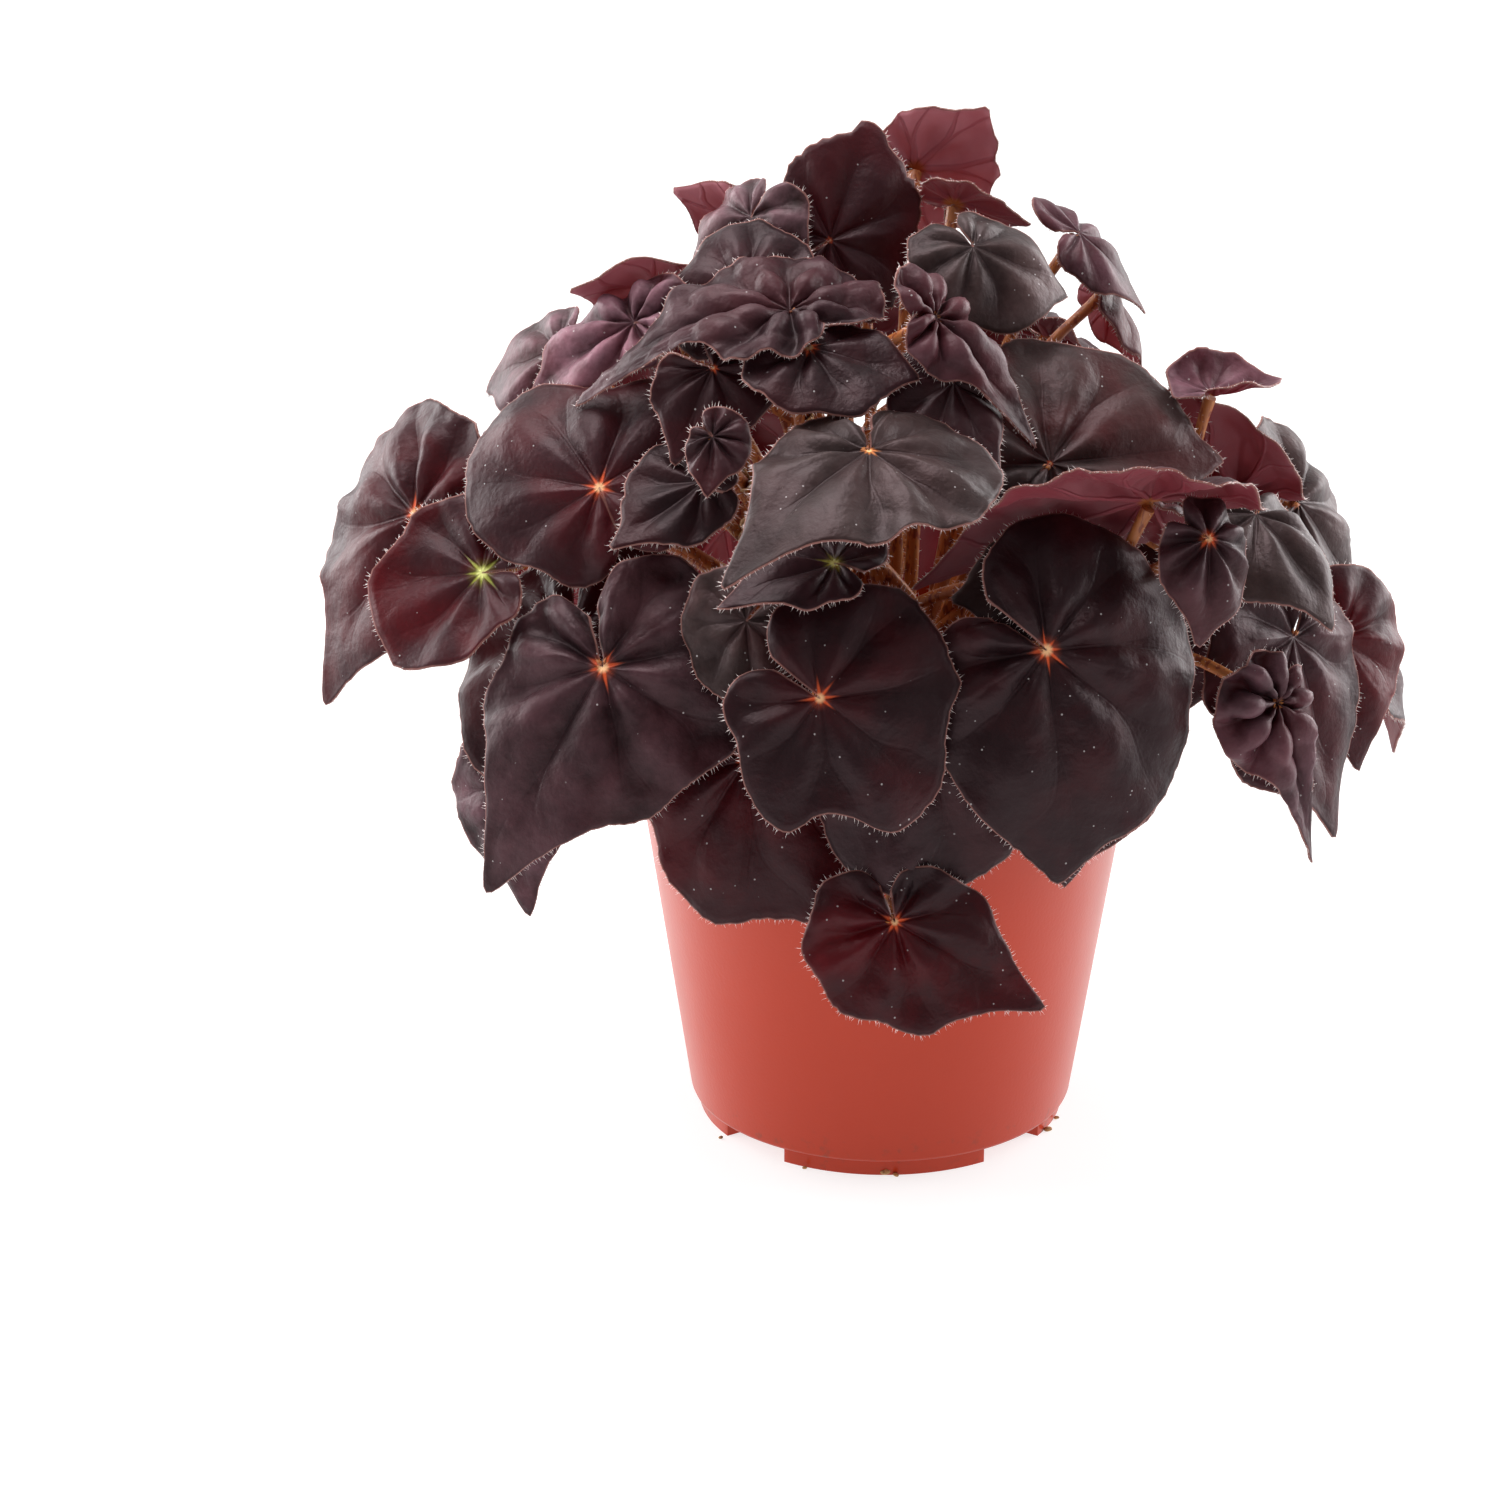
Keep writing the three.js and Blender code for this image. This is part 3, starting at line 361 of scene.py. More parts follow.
class Value:
    """A number that varies over a surface. Arithmetic on it adds Math nodes."""

    def __init__(self, surface, socket):
        self.surface = surface
        self.socket = socket

    def math(self, operation, *others):
        return self.surface.math(operation, self, *others)

    def __add__(self, other):
        return self.math("ADD", other)

    __radd__ = __add__

    def __sub__(self, other):
        return self.math("SUBTRACT", other)

    def __rsub__(self, other):
        return self.surface.math("SUBTRACT", other, self)

    def __mul__(self, other):
        return self.math("MULTIPLY", other)

    def __truediv__(self, other):
        return self.math("DIVIDE", other)

    def __abs__(self):
        return self.math("ABSOLUTE")

    def __round__(self):
        return self.math("ROUND")

    def clamped(self):
        return self.math("MAXIMUM", 0).math("MINIMUM", 1)

    def rise(self, low, high):
        """0 below low, 1 above high, and a smooth step between them."""
        step = self.surface.node("ShaderNodeMapRange", {"interpolation_type": "SMOOTHSTEP"},
                                 {"Value": self, "From Min": low, "From Max": high})
        return Value(self.surface, step.outputs["Result"])


class Surface:
    """A material under construction."""

    def __init__(self, name):
        self.material = bpy.data.materials.new(name)
        self.material.use_nodes = True
        self.tree = self.material.node_tree
        self.tree.nodes.clear()
        self.output = self.node("ShaderNodeOutputMaterial")

    def node(self, kind, settings=None, inputs=None):
        """Adds a node: its settings first, then values or links for its sockets."""
        made = self.tree.nodes.new(kind)
        for name, setting in (settings or {}).items():
            setattr(made, name, setting)
        for key, given in (inputs or {}).items():
            source = given.socket if isinstance(given, Value) else given
            if isinstance(source, bpy.types.NodeSocket):
                self.tree.links.new(source, made.inputs[key])
            elif made.inputs[key].type == "RGBA":
                made.inputs[key].default_value = (*source[:3], 1)
            else:
                made.inputs[key].default_value = source
        return made

    def math(self, operation, *values):
        made = self.node("ShaderNodeMath", {"operation": operation}, dict(enumerate(values)))
        return Value(self, made.outputs[0])

    def attribute(self, name):
        return Value(self, self.node("ShaderNodeAttribute", {"attribute_name": name}).outputs["Fac"])

    def place(self):
        return self.node("ShaderNodeTexCoord").outputs["Object"]

    def noise(self, vector, scale, detail=2.0, roughness=0.5):
        made = self.node("ShaderNodeTexNoise", None, {
            "Vector": vector, "Scale": scale, "Detail": detail, "Roughness": roughness})
        return Value(self, made.outputs["Fac"])

    def cells(self, vector, scale):
        """Distance to the middle of the nearest cell."""
        made = self.node("ShaderNodeTexVoronoi", None, {"Vector": vector, "Scale": scale})
        return Value(self, made.outputs["Distance"])

    def blend(self, share, first, second):
        """Mixes two colours; share 0 gives the first."""
        return self.node("ShaderNodeMix", {"data_type": "RGBA"}, {0: share, 6: first, 7: second}).outputs[2]

    def bump(self, height):
        """Normal of a surface raised by a height in mm."""
        return self.node("ShaderNodeBump", None, {"Height": height, "Distance": MM}).outputs["Normal"]

    def skin(self, colour, roughness, normal, constants=None):
        """Principled shader, with constants for the sockets that nothing feeds."""
        inputs = {"Base Color": colour, "Roughness": roughness, "Normal": normal, **(constants or {})}
        return self.node("ShaderNodeBsdfPrincipled", None, inputs).outputs[0]

    def finish(self, shader):
        self.tree.links.new(shader, self.output.inputs["Surface"])
        return self.material


def pattern_lines(surface):
    """Where a place on a blade lies: its share of the way to the margin, the distances in mm to the star, to
    the nearest vein or fork and to the nearest unforked vein, and that vein's number."""
    flat = surface.node("ShaderNodeUVMap", {"uv_map": "pattern"}).outputs["UV"]
    split = surface.node("ShaderNodeSeparateXYZ", None, {0: flat})
    across = Value(surface, split.outputs["X"]) * 2 - 1
    along = Value(surface, split.outputs["Y"]) * 2 - 1
    share = (across * across + along * along).math("SQRT")
    spread = VEIN_STEP * DEGREE
    turns = along.math("ARCTAN2", across) / spread
    vein = round(turns)
    aside = abs(turns - vein)
    from_star = surface.attribute("from_star")
    fork = ((share - FORK_START) / (1 - FORK_START)).clamped() * FORK_SPREAD
    to_vein = abs(aside - fork) * from_star * spread
    straight = aside * from_star * spread
    return share, from_star, to_vein, straight, vein


def paint_star(surface, colour, settings, from_star, straight, vein):
    """Star where the stalk joins: a pale core, a soft halo, and a thin ray of its own length on each vein."""
    size = surface.attribute("star")
    green = surface.attribute("green")
    chance = surface.node("ShaderNodeTexWhiteNoise", {"noise_dimensions": "1D"},
                          {"W": vein * 1.7 + surface.attribute("leaf_number")})
    ray_length = (Value(surface, chance.outputs["Value"]) * RAY_SPREAD + LEAST_RAY) * size + 0.01
    along = from_star / ray_length
    ray = 1 - (straight - (1 - along).clamped() * RAY_HALF_WIDTH).rise(-0.2, 0.16)
    ray = ray * (1 - along.rise(0.35, 1.0))
    ray_colour = surface.blend(green, settings.star_ray, settings.green_ray)
    core_colour = surface.blend(green, settings.star_core, settings.green_core)
    halo = 1 - (from_star / (size + 0.01)).rise(*HALO_EDGE)
    core = 1 - (from_star / (size + 0.01)).rise(*CORE_EDGE)
    shown = size.rise(0.05, 0.4)
    colour = surface.blend(halo * shown * 0.3, colour, ray_colour)
    colour = surface.blend(ray * shown * 0.9, colour, ray_colour)
    return surface.blend(core * shown, colour, core_colour)


def paint_margin(surface, colour, settings):
    """Thin pale line on the margin, for its pale hairs and for painted light through the thin edge."""
    line = 1 - surface.attribute("from_margin").rise(*MARGIN_LINE)
    return surface.blend(line * 0.7, colour, settings.margin)


def make_blade_surface(name, base, velvet_and_light_colour, settings):
    """Velvet upper face of a blade: mottling, painted ridge sheen and red glow, veins with painted shade,
    star, margin line and specks.
    """
    surface = Surface(name)
    place = surface.place()
    share, from_star, to_vein, straight, vein = pattern_lines(surface)
    red = surface.attribute("red")
    relief = surface.attribute("relief")

    clouds = surface.noise(place, 75, 3)
    patches = surface.noise(place, 48, 2)
    grain = surface.noise(place, 1300, 2)
    nap = surface.noise(place, 420, 3, 0.6)
    # Velvet in clouds and nap, with sheen painted on the ridges of the relief: paler on the ridges, darker in
    # the hollows
    velvet_and_ridge_sheen = clouds.rise(0.38, 0.7) * 0.4 + relief.rise(-0.6, 1.4) * 0.4 + (nap - 0.5) * 0.55
    # The velvet turns to a painted pink light on the leaves that catch most light
    velvet_and_painted_pink = surface.blend(surface.attribute("pink"), velvet_and_light_colour, settings.painted_pink_light)
    colour = surface.blend((velvet_and_ridge_sheen * surface.attribute("bloom")).clamped(), base, velvet_and_painted_pink)
    # Red glow painted in patches, for light that passes through the blade; the translucent mix below is the
    # real light
    painted_glow_patches = patches.rise(0.45, 0.68) * 0.75 + surface.noise(place, 160, 2).rise(0.5, 0.7) * 0.25
    colour = surface.blend(painted_glow_patches * red, colour, settings.glow)
    colour = surface.blend(grain * 0.3, colour, NEARLY_BLACK)

    # Veins darker along their creases: partly their own colour, partly painted shade in the creases
    vein_line = (1 - to_vein.rise(0.1, 0.6)) * (1 - share).clamped()
    colour = surface.blend(vein_line * 0.3, colour, NEARLY_BLACK)
    colour = paint_star(surface, colour, settings, from_star, straight, vein)
    colour = paint_margin(surface, colour, settings)

    specks = 1 - surface.cells(place, 420).rise(0.06, 0.11)
    rare = surface.noise(place, 150, 1).rise(0.54, 0.58)
    colour = surface.blend(specks * rare * 0.75, colour, SPECK)

    puffs = surface.noise(place, 230, 2) * 0.3
    normal = surface.bump(puffs + nap * 0.2 + grain * 0.06 - vein_line * 0.15)
    skin = surface.skin(colour, 0.52 - clouds * 0.2, normal, {
        "Specular IOR Level": 0.25, "Specular Tint": GLOSS_OF_UPPER_FACE,
        "Sheen Weight": 0.03, "Sheen Roughness": 0.4, "Sheen Tint": SHEEN_OF_UPPER_FACE})
    through = surface.node("ShaderNodeBsdfTranslucent", None, {"Color": settings.light, "Normal": normal})
    both = surface.node("ShaderNodeMixShader", None, {
        0: (patches * 0.2 + 0.06) * red, 1: skin, 2: through.outputs[0]})
    return surface.finish(both.outputs[0])


def make_underside_surface(settings):
    """Crimson underside with raised, paler veins, and pale rose painted where light shines through it."""
    surface = Surface("leaf_underside")
    place = surface.place()
    share, from_star, to_vein, straight, vein = pattern_lines(surface)
    rose = surface.attribute("rose")
    clouds = surface.noise(place, 70, 3).rise(0.3, 0.7)
    colour = surface.blend(clouds * 0.45, settings.under, srgb(0x3A0A12))
    # Pale rose painted where light shines through the underside
    colour = surface.blend(rose * (0.55 + clouds * 0.4), colour, settings.rose)
    vein_line = 1 - (to_vein - (1 - share) * 0.4).rise(0.05, 0.5)
    colour = surface.blend(vein_line * 0.4, colour, srgb(0x9A4450))
    colour = surface.blend(1 - from_star.rise(1.2, 3.2), colour, settings.stalk)
    colour = paint_margin(surface, colour, settings)
    grain = surface.noise(place, 900, 2)
    normal = surface.bump(vein_line * 0.35 + grain * 0.08)
    skin = surface.skin(colour, 0.45 + grain * 0.1, normal, {
        "Specular IOR Level": 0.35, "Sheen Weight": 0.08, "Sheen Roughness": 0.4,
        "Sheen Tint": SHEEN_OF_UNDERSIDE})
    through = surface.node("ShaderNodeBsdfTranslucent", None, {"Color": settings.light})
    both = surface.node("ShaderNodeMixShader", None, {0: rose * 0.3 + 0.25, 1: skin, 2: through.outputs[0]})
    return surface.finish(both.outputs[0])


def make_stalk_surface(settings):
    """Orange-tan stalks with red-brown dashes along them."""
    surface = Surface("stalk_skin")
    place = surface.place()
    long_way = surface.node("ShaderNodeMapping", None, {"Vector": place, "Scale": (1, 1, 0.3)})
    dashes = surface.noise(long_way.outputs[0], 900, 2).rise(0.52, 0.62)
    blush = surface.noise(place, 60, 2).rise(0.35, 0.7)
    colour = surface.blend(blush * 0.45, settings.stalk, srgb(0x9A4A2C))
    colour = surface.blend(dashes * 0.75, colour, settings.stalk_marks)
    normal = surface.bump(surface.noise(long_way.outputs[0], 1400, 2) * 0.12)
    return surface.finish(surface.skin(colour, 0.42, normal, {
        "Subsurface Weight": 0.15, "Subsurface Radius": (0.004, 0.0015, 0.0008)}))


def make_hair_surface(settings):
    """Pale hairs, a little pinker here and there."""
    surface = Surface("hair")
    place = surface.place()
    shade = surface.noise(place, 700, 1)
    colour = surface.blend(shade * 0.6, settings.hair, srgb(0xD8A8A0))
    skin = surface.node("ShaderNodeBsdfPrincipled", None, {"Base Color": colour, "Roughness": 0.5})
    return surface.finish(skin.outputs[0])


def make_plastic_surface(settings):
    """Terracotta-coloured plastic with a faint moulded grain and soil dust at its foot."""
    surface = Surface("pot_plastic")
    place = surface.place()
    height = Value(surface, surface.node("ShaderNodeSeparateXYZ", None, {0: place}).outputs["Z"]) / MM
    clouds = surface.noise(place, 28, 3)
    colour = surface.blend(clouds * 0.3, settings.plastic, srgb(0xA03018))
    dust = surface.noise(place, 420, 4, 0.6).rise(0.55, 0.72) * (1 - height.rise(3, 14))
    colour = surface.blend(dust * 0.5, colour, srgb(0x6A3A2A))
    normal = surface.bump(surface.noise(place, 1300, 2) * 0.03 + clouds * 0.2)
    return surface.finish(surface.skin(colour, 0.3 + clouds * 0.1, normal, {
        "Specular IOR Level": 0.15, "Coat Weight": 0.25, "Coat Roughness": 0.22,
        "Sheen Weight": 0.1, "Sheen Roughness": 0.25}))


def make_soil_surface(settings):
    """Dark crumbly soil with a few pale grains."""
    surface = Surface("potting_soil")
    place = surface.place()
    crumbs = surface.cells(place, 420)
    clouds = surface.noise(place, 130, 5, 0.65)
    colour = surface.blend(clouds.rise(0.3, 0.75), srgb(0x1A120E), settings.soil)
    colour = surface.blend((1 - crumbs.rise(0.05, 0.5)) * 0.6, colour, srgb(0x5A4030))
    pale = surface.noise(place, 700, 1).rise(0.74, 0.78)
    colour = surface.blend(pale, colour, srgb(0xB8A890))
    normal = surface.bump(clouds * 1.2 - crumbs * 0.5)
    return surface.finish(surface.skin(colour, 0.92, normal))


def make_paper_surface():
    """Papery tan of the bud scales, and of the crumbs at the pot's foot."""
    surface = Surface("bud_scale")
    place = surface.place()
    streaks = surface.noise(place, 520, 3, 0.6)
    colour = surface.blend(streaks.rise(0.35, 0.7), srgb(0xC89A64), srgb(0x7A4A2C))
    normal = surface.bump(streaks * 0.2)
    return surface.finish(surface.skin(colour, 0.7, normal))


def make_floor_surface(settings):
    """Plain white floor, lit from within a little, as on a light table."""
    surface = Surface("white_floor")
    skin = surface.node("ShaderNodeBsdfPrincipled", None, {
        "Base Color": settings.floor, "Roughness": 0.9, "Specular IOR Level": 0.0,
        "Emission Color": (1, 1, 1), "Emission Strength": settings.floor_glow})
    return surface.finish(skin.outputs[0])


@functools.lru_cache(maxsize=None)
def surfaces():
    """Every material by its slot or use."""
    foliage = bpy.context.scene.begonia_foliage
    pot = bpy.context.scene.begonia_pot
    return {
        "leaf_dark": make_blade_surface("leaf_dark_upper", foliage.dark, foliage.bloom, foliage),
        "leaf_red": make_blade_surface("leaf_red_upper", foliage.red, foliage.bloom, foliage),
        "leaf_grey": make_blade_surface("leaf_grey_upper", foliage.grey, foliage.grey_velvet_and_light, foliage),
        "underside": make_underside_surface(foliage),
        "stalk": make_stalk_surface(foliage),
        "hair": make_hair_surface(foliage),
        "scale": make_paper_surface(),
        "pot": make_plastic_surface(pot),
        "soil": make_soil_surface(pot),
    }


def add_object(name, shape, *materials):
    """Smooth-shaded object at the origin from a bmesh, with its materials."""
    mesh = bpy.data.meshes.new(name)
    shape.to_mesh(mesh)
    shape.free()
    for material in materials:
        mesh.materials.append(material)
    mesh.polygons.foreach_set("use_smooth", [True] * len(mesh.polygons))
    piece = bpy.data.objects.new(name, mesh)
    bpy.context.collection.objects.link(piece)
    return piece


def merged_copy(node):
    shape = bmesh.new()
    shape.from_mesh(node.data)
    bmesh.ops.remove_doubles(shape, verts=shape.verts, dist=MERGE_DISTANCE)
    shape.verts.ensure_lookup_table()
    return shape


def new_corners(drawn):
    """The corners that an extrusion made."""
    return [part for part in drawn["geom"] if isinstance(part, bmesh.types.BMVert)]


@functools.lru_cache(maxsize=None)
def stalk_corners():
    """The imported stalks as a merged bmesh, and a tree to find its corners by place."""
    shape = merged_copy(NODES["crown_and_stalks"])
    tree = kdtree.KDTree(len(shape.verts))
    for index, corner in enumerate(shape.verts):
        tree.insert(corner.co, index)
    tree.balance()
    return shape, tree


def fan_round(hub):
    """The points next to a star, from one side of the slit round to the other."""
    faces = set(hub.link_faces)
    fan = [next(edge for edge in hub.link_edges if edge.is_boundary).other_vert(hub)]
    while len(fan) < SPOKE_COUNT:
        face = next(face for face in faces if fan[-1] in face.verts)
        faces.remove(face)
        fan.append(next(v for v in face.verts if v not in (hub, fan[-1])))
    return fan


@functools.lru_cache(maxsize=None)
def blade_net(name):
    """Net of a blade's upper face, as rings of spokes from the narrow lobe to the broad one; its up
    direction; and the star's place on the underside."""
    shape = merged_copy(NODES[name])
    rungs = [e for e in shape.edges if abs(e.calc_length() - BLADE_WALL) < WALL_TOLERANCE]
    if len(rungs) != EDGE_RUNGS:
        raise RuntimeError(f"{name}: its edge isn't as expected")
    walls = {face for rung in rungs for face in rung.link_faces}
    bmesh.ops.delete(shape, geom=list(walls), context="FACES")
    hubs = [v for v in shape.verts if len(v.link_edges) == SPOKE_COUNT]
    tree = stalk_corners()[1]
    lower, upper = sorted(hubs, key=lambda v: tree.find(v.co)[2])
    up = sum((face.normal for face in upper.link_faces), Vector()).normalized()

    rings = [fan_round(upper)]
    seen = {upper, *rings[0]}
    for _ in RING_SHARES[2:]:
        beyond = [{e.other_vert(v) for e in v.link_edges} - seen for v in rings[-1]]
        ring = [None] * SPOKE_COUNT
        for spoke in range(1, SPOKE_COUNT, 2):
            (ring[spoke],) = beyond[spoke]
        between = set(ring)
        for spoke in range(0, SPOKE_COUNT, 2):
            (ring[spoke],) = beyond[spoke] - between
        rings.append(ring)
        seen.update(ring)
    net = np.array([[upper.co] * SPOKE_COUNT] + [[v.co for v in ring] for ring in rings])
    reach = np.linalg.norm(np.diff(net, axis=0), axis=2).sum(axis=0)
    if reach[SPOKE_COUNT - 1 - TIP_SPOKE] > reach[TIP_SPOKE]:
        net = net[:, ::-1]
    under = lower.co.copy()
    shape.free()
    return net, np.array(up), under


def curve_through(knots, values, at):
    """Smooth curve through values at the knots, read at other places; each column on its own."""
    slopes = np.gradient(values, knots, axis=0)
    low = np.clip(np.searchsorted(knots, at, side="right") - 1, 0, len(knots) - 2)
    column = np.arange(values.shape[1])
    step = (knots[low + 1] - knots[low])[..., None]
    t = ((at - knots[low]) / step[..., 0])[..., None]
    v0, v1 = values[low, column], values[low + 1, column]
    s0, s1 = slopes[low, column] * step, slopes[low + 1, column] * step
    return ((2 * t**3 - 3 * t**2 + 1) * v0 + (t**3 - 2 * t**2 + t) * s0
            + (3 * t**2 - 2 * t**3) * v1 + (t**3 - t**2) * s1)


def smooth_noise(where, number, use):
    """Perlin noise for an array of places on a plane, from -1 to 1; each leaf and use has its own."""
    depth = (number + NOISE_SEEDS[use]) * SEED_SPACING
    values = [noise.noise((x, y, depth)) for x, y in where.reshape(-1, 2)]
    return np.array(values).reshape(where.shape[:-1])


def circle_places(angles):
    return np.stack([np.cos(angles * DEGREE), np.sin(angles * DEGREE)], axis=-1)


def bell(distance, width):
    return np.exp(-((distance / width) ** 2))


def fit_outline(angles, length, number, blunt, teeth):
    """How far the margin stands out or in, as a share, for each spoke angle."""
    hollows = TIP_STRETCH * bell(np.abs(angles) - HOLLOW_ANGLE, HOLLOW_SPREAD)
    tip = TIP_STRETCH * bell(angles, TIP_SPREAD) - hollows
    to_slit = np.minimum(angles - angles[0], angles[-1] - angles)
    lobes = -LOBE_FALL * (1 - np.clip(to_slit / LOBE_SPREAD, 0, 1)) ** 2
    ring = circle_places(angles)
    ripples = RIPPLE_HEIGHT / length * smooth_noise(ring * length / RIPPLE_SPACING, number, "ripples")
    waves = WAVE_HEIGHT * smooth_noise(ring * WAVES_ROUND, number, "waves") + ripples
    jags = 1 - 2 * np.abs(smooth_noise(ring * length / TOOTH_SPACING, number, "teeth")) ** 0.6
    return 1 + tip * (1 - blunt) + lobes + waves + teeth / length * jags


def vein_height(share, angles, from_star, ribs, number):
    """Height in mm of a blade's surface: creases on the veins and their forks, billows and ribs between."""
    turns = angles / VEIN_STEP
    vein = np.round(turns)
    aside = np.abs(turns - vein)
    strengths = np.random.default_rng(number).uniform(*VEIN_STRENGTHS, SPOKE_COUNT)
    strength = strengths[(vein - vein.min()).astype(int)]
    fork = FORK_SPREAD * np.clip((share - FORK_START) / (1 - FORK_START), 0, 1)
    to_vein = np.abs(aside - fork) * from_star * VEIN_STEP * DEGREE
    shoulder = SHOULDER_HEIGHT * bell(to_vein - SHOULDER_PLACE, SHOULDER_WIDTH)
    crease = shoulder - CREASE_DEPTH * bell(to_vein, CREASE_WIDTH)
    billow = BILLOW_HEIGHT * np.sin(np.pi * aside) * np.sin(np.pi * np.clip(share, 0, 1))
    slant = from_star / RIB_SPACING - aside * from_star * VEIN_STEP * DEGREE / RIB_SPACING * RIB_SLANT
    ribbing = ribs * np.abs(np.cos(np.pi * slant)) ** 0.8 * np.sin(np.pi * aside) ** 0.6
    rise = np.clip(share / RELIEF_START, 0, 1)
    star = -STAR_DIP * bell(from_star, STAR_DIP_WIDTH)
    return (crease * (1 - CREASE_FADE * share) + billow) * strength * rise + ribbing * rise + star


def smooth_blade(net, up, angles, shares, outline):
    """Places and normals of a smooth blade through a net and out to an outline, in a row for each share."""
    spread = curve_through(SPOKE_ANGLES, net.transpose(1, 0, 2), np.repeat(angles[:, None], len(net), axis=1))
    reach = shares[:, None] * (1 + (outline - 1) * shares[:, None] ** 2)
    places = curve_through(RING_SHARES, spread.transpose(1, 0, 2), reach)
    normals = np.cross(np.gradient(places, axis=0), np.gradient(places, axis=1))
    normals[0] = up
    normals /= np.linalg.norm(normals, axis=2, keepdims=True) + 1e-12
    normals[1:] *= np.sign((normals[1] @ up).sum())
    return places, normals


def measure_blade(places, angles):
    """Distances in mm over a blade from its star, and from its margin or slit."""
    steps = np.linalg.norm(np.diff(places, axis=0), axis=2) / MM
    from_star = np.concatenate([np.zeros((1, len(angles))), np.cumsum(steps, axis=0)])
    beside_slit = from_star * np.minimum(angles - angles[0], angles[-1] - angles) * DEGREE
    return from_star, np.minimum(from_star[-1] - from_star, beside_slit)


def raise_relief(angles, shares, from_star, length, number, ribs):
    """The share and angle that each place takes in the pattern of veins, its height and its curl in mm."""
    ring = circle_places(angles)
    share = shares[:, None]
    ground = share[..., None] * ring
    turned = angles + smooth_noise(ground * WOBBLE_SCALE, number, "wobble") * WOBBLE_ANGLE * share
    stretched = share * (1 + STRETCH_SHARE * smooth_noise(ground * STRETCH_SCALE, number, "stretch"))
    height = vein_height(stretched, turned, from_star, ribs, number) * min(1, length / FULL_RELIEF_LENGTH)
    height += SWELL_HEIGHT * smooth_noise(ground * length / SWELL_SPACING, number, "swell") * share
    turned_edge = np.clip((share - CURL_START) / (1 - CURL_START), 0, 1) ** 2
    curl = CURL_HEIGHT * smooth_noise(ring * length / CURL_SPACING, number, "curl") * turned_edge
    return stretched, turned, height, curl


def lay_blade(places, stretched, turned, varying, even):
    """Grid bent to a blade's places, with its pattern as a UV map and its looks as attributes."""
    rows, columns = stretched.shape
    shape = bmesh.new()
    bmesh.ops.create_grid(shape, x_segments=columns - 1, y_segments=rows - 1, size=1)
    layers = {key: shape.verts.layers.float.new(key) for key in (*varying, *even)}
    flat = shape.loops.layers.uv.new("pattern")
    shape.verts.ensure_lookup_table()
    shape.verts.index_update()
    u = 0.5 + 0.5 * stretched * np.cos(turned * DEGREE)
    v = 0.5 + 0.5 * stretched * np.sin(turned * DEGREE)
    for index, corner in enumerate(shape.verts):
        at = divmod(index, columns)
        corner.co = places[at]
        for key, values in varying.items():
            corner[layers[key]] = values[at]
        for key, value in even.items():
            corner[layers[key]] = value
    for face in shape.faces:
        for loop in face.loops:
            at = divmod(loop.vert.index, columns)
            loop[flat].uv = (u[at], v[at])
    bmesh.ops.remove_doubles(shape, verts=shape.verts, dist=MERGE_DISTANCE)
    shape.normal_update()
    return shape


def make_blade(name, number, settings):
    """Fine blade over the net of a packed one."""
    net, up, _ = blade_net(name)
    slot = SLOT_OF_NODE[name]
    look = {**COMMON_LOOK, **SLOT_LOOKS[slot], **LOOKS.get(name.removeprefix("leaf_"), UNLISTED_LOOK)}
    reaches = np.linalg.norm(np.diff(net, axis=0), axis=2).sum(axis=0)
    length = reaches[TIP_SPOKE] / MM
    columns = int(np.clip(length * settings.columns_per_length, *COLUMN_LIMITS))
    rows = int(np.clip(length * ROWS_PER_LENGTH, *ROW_LIMITS))

    angles = np.linspace(SPOKE_ANGLES[0], SPOKE_ANGLES[-1], columns + 1)
    shares = np.linspace(0, 1, rows + 1) ** ROW_CROWDING
    blunt = np.clip((reaches[TIP_SPOKE + 1] / reaches[TIP_SPOKE] - SHARP_RATIO) / BLUNT_STEP, 0, 1)
    outline = fit_outline(angles, length, number, blunt, look["teeth"])
    places, normals = smooth_blade(net, up, angles, shares, outline)
    from_star, from_margin = measure_blade(places, angles)
    stretched, turned, height, curl = raise_relief(angles, shares, from_star, length, number, look["ribs"])
    places = places + normals * ((height + curl) * MM)[..., None]

    varying = {"from_star": from_star, "from_margin": from_margin, "relief": height}
    even = {"leaf_number": number, **{key: look[key] for key in PAINTED_LOOKS}}
    shape = lay_blade(places, stretched, turned, varying, even)
    if sum(face.normal.dot(Vector(up)) for face in shape.faces) < 0:
        bmesh.ops.reverse_faces(shape, faces=shape.faces)
    piece = add_object(name.replace("leaf_", "blade_"), shape, surfaces()[slot], surfaces()["underside"])
    wall = piece.modifiers.new("thickness", "SOLIDIFY")
    wall.thickness = settings.blade_thickness
    wall.offset = -1
    wall.material_offset = 1
    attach(piece, "root")
    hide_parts(name)


def middle_of(corners):
    return sum((corner.co for corner in corners), Vector()) / len(corners)


def is_section(corners):
    """True for the four corners of one square section of a stalk."""
    if len(corners) != SECTION_CORNERS:
        return False
    middle = middle_of(corners)
    return all(at_distance(corner.co, middle, STALK_SECTION_RADIUS) for corner in corners)


def at_distance(first, second, wanted):
    return abs((first - second).length - wanted) < SECTION_TOLERANCE


def section_ahead(middle, step, heading):
    """The next section where another stalk cuts the edges that lead to it: two opposite corners, a step
    away, with a third that fits them, as nearly straight ahead as there is."""
    shape, tree = stalk_corners()
    least, most = (share * step for share in NEAR_STEPS)
    near = [shape.verts[i].co for _, i, far in tree.find_range(middle, most) if far > least]
    best, straightest = None, LEAST_STRAIGHTNESS
    for index, first in enumerate(near):
        for second in near[index + 1:]:
            if not at_distance(first, second, 2 * STALK_SECTION_RADIUS):
                continue
            centre = (first + second) / 2
            along = centre - middle
            straight = along.normalized().dot(heading)
            if abs(along.length - step) > STEP_TOLERANCE * step or straight < straightest:
                continue
            if (middle - CROWN_MIDDLE).length - (centre - CROWN_MIDDLE).length < LEAST_APPROACH * step:
                continue
            if sum(at_distance(p, centre, STALK_SECTION_RADIUS) for p in near) >= FITTING_CORNERS:
                best, straightest = centre, straight
    return best


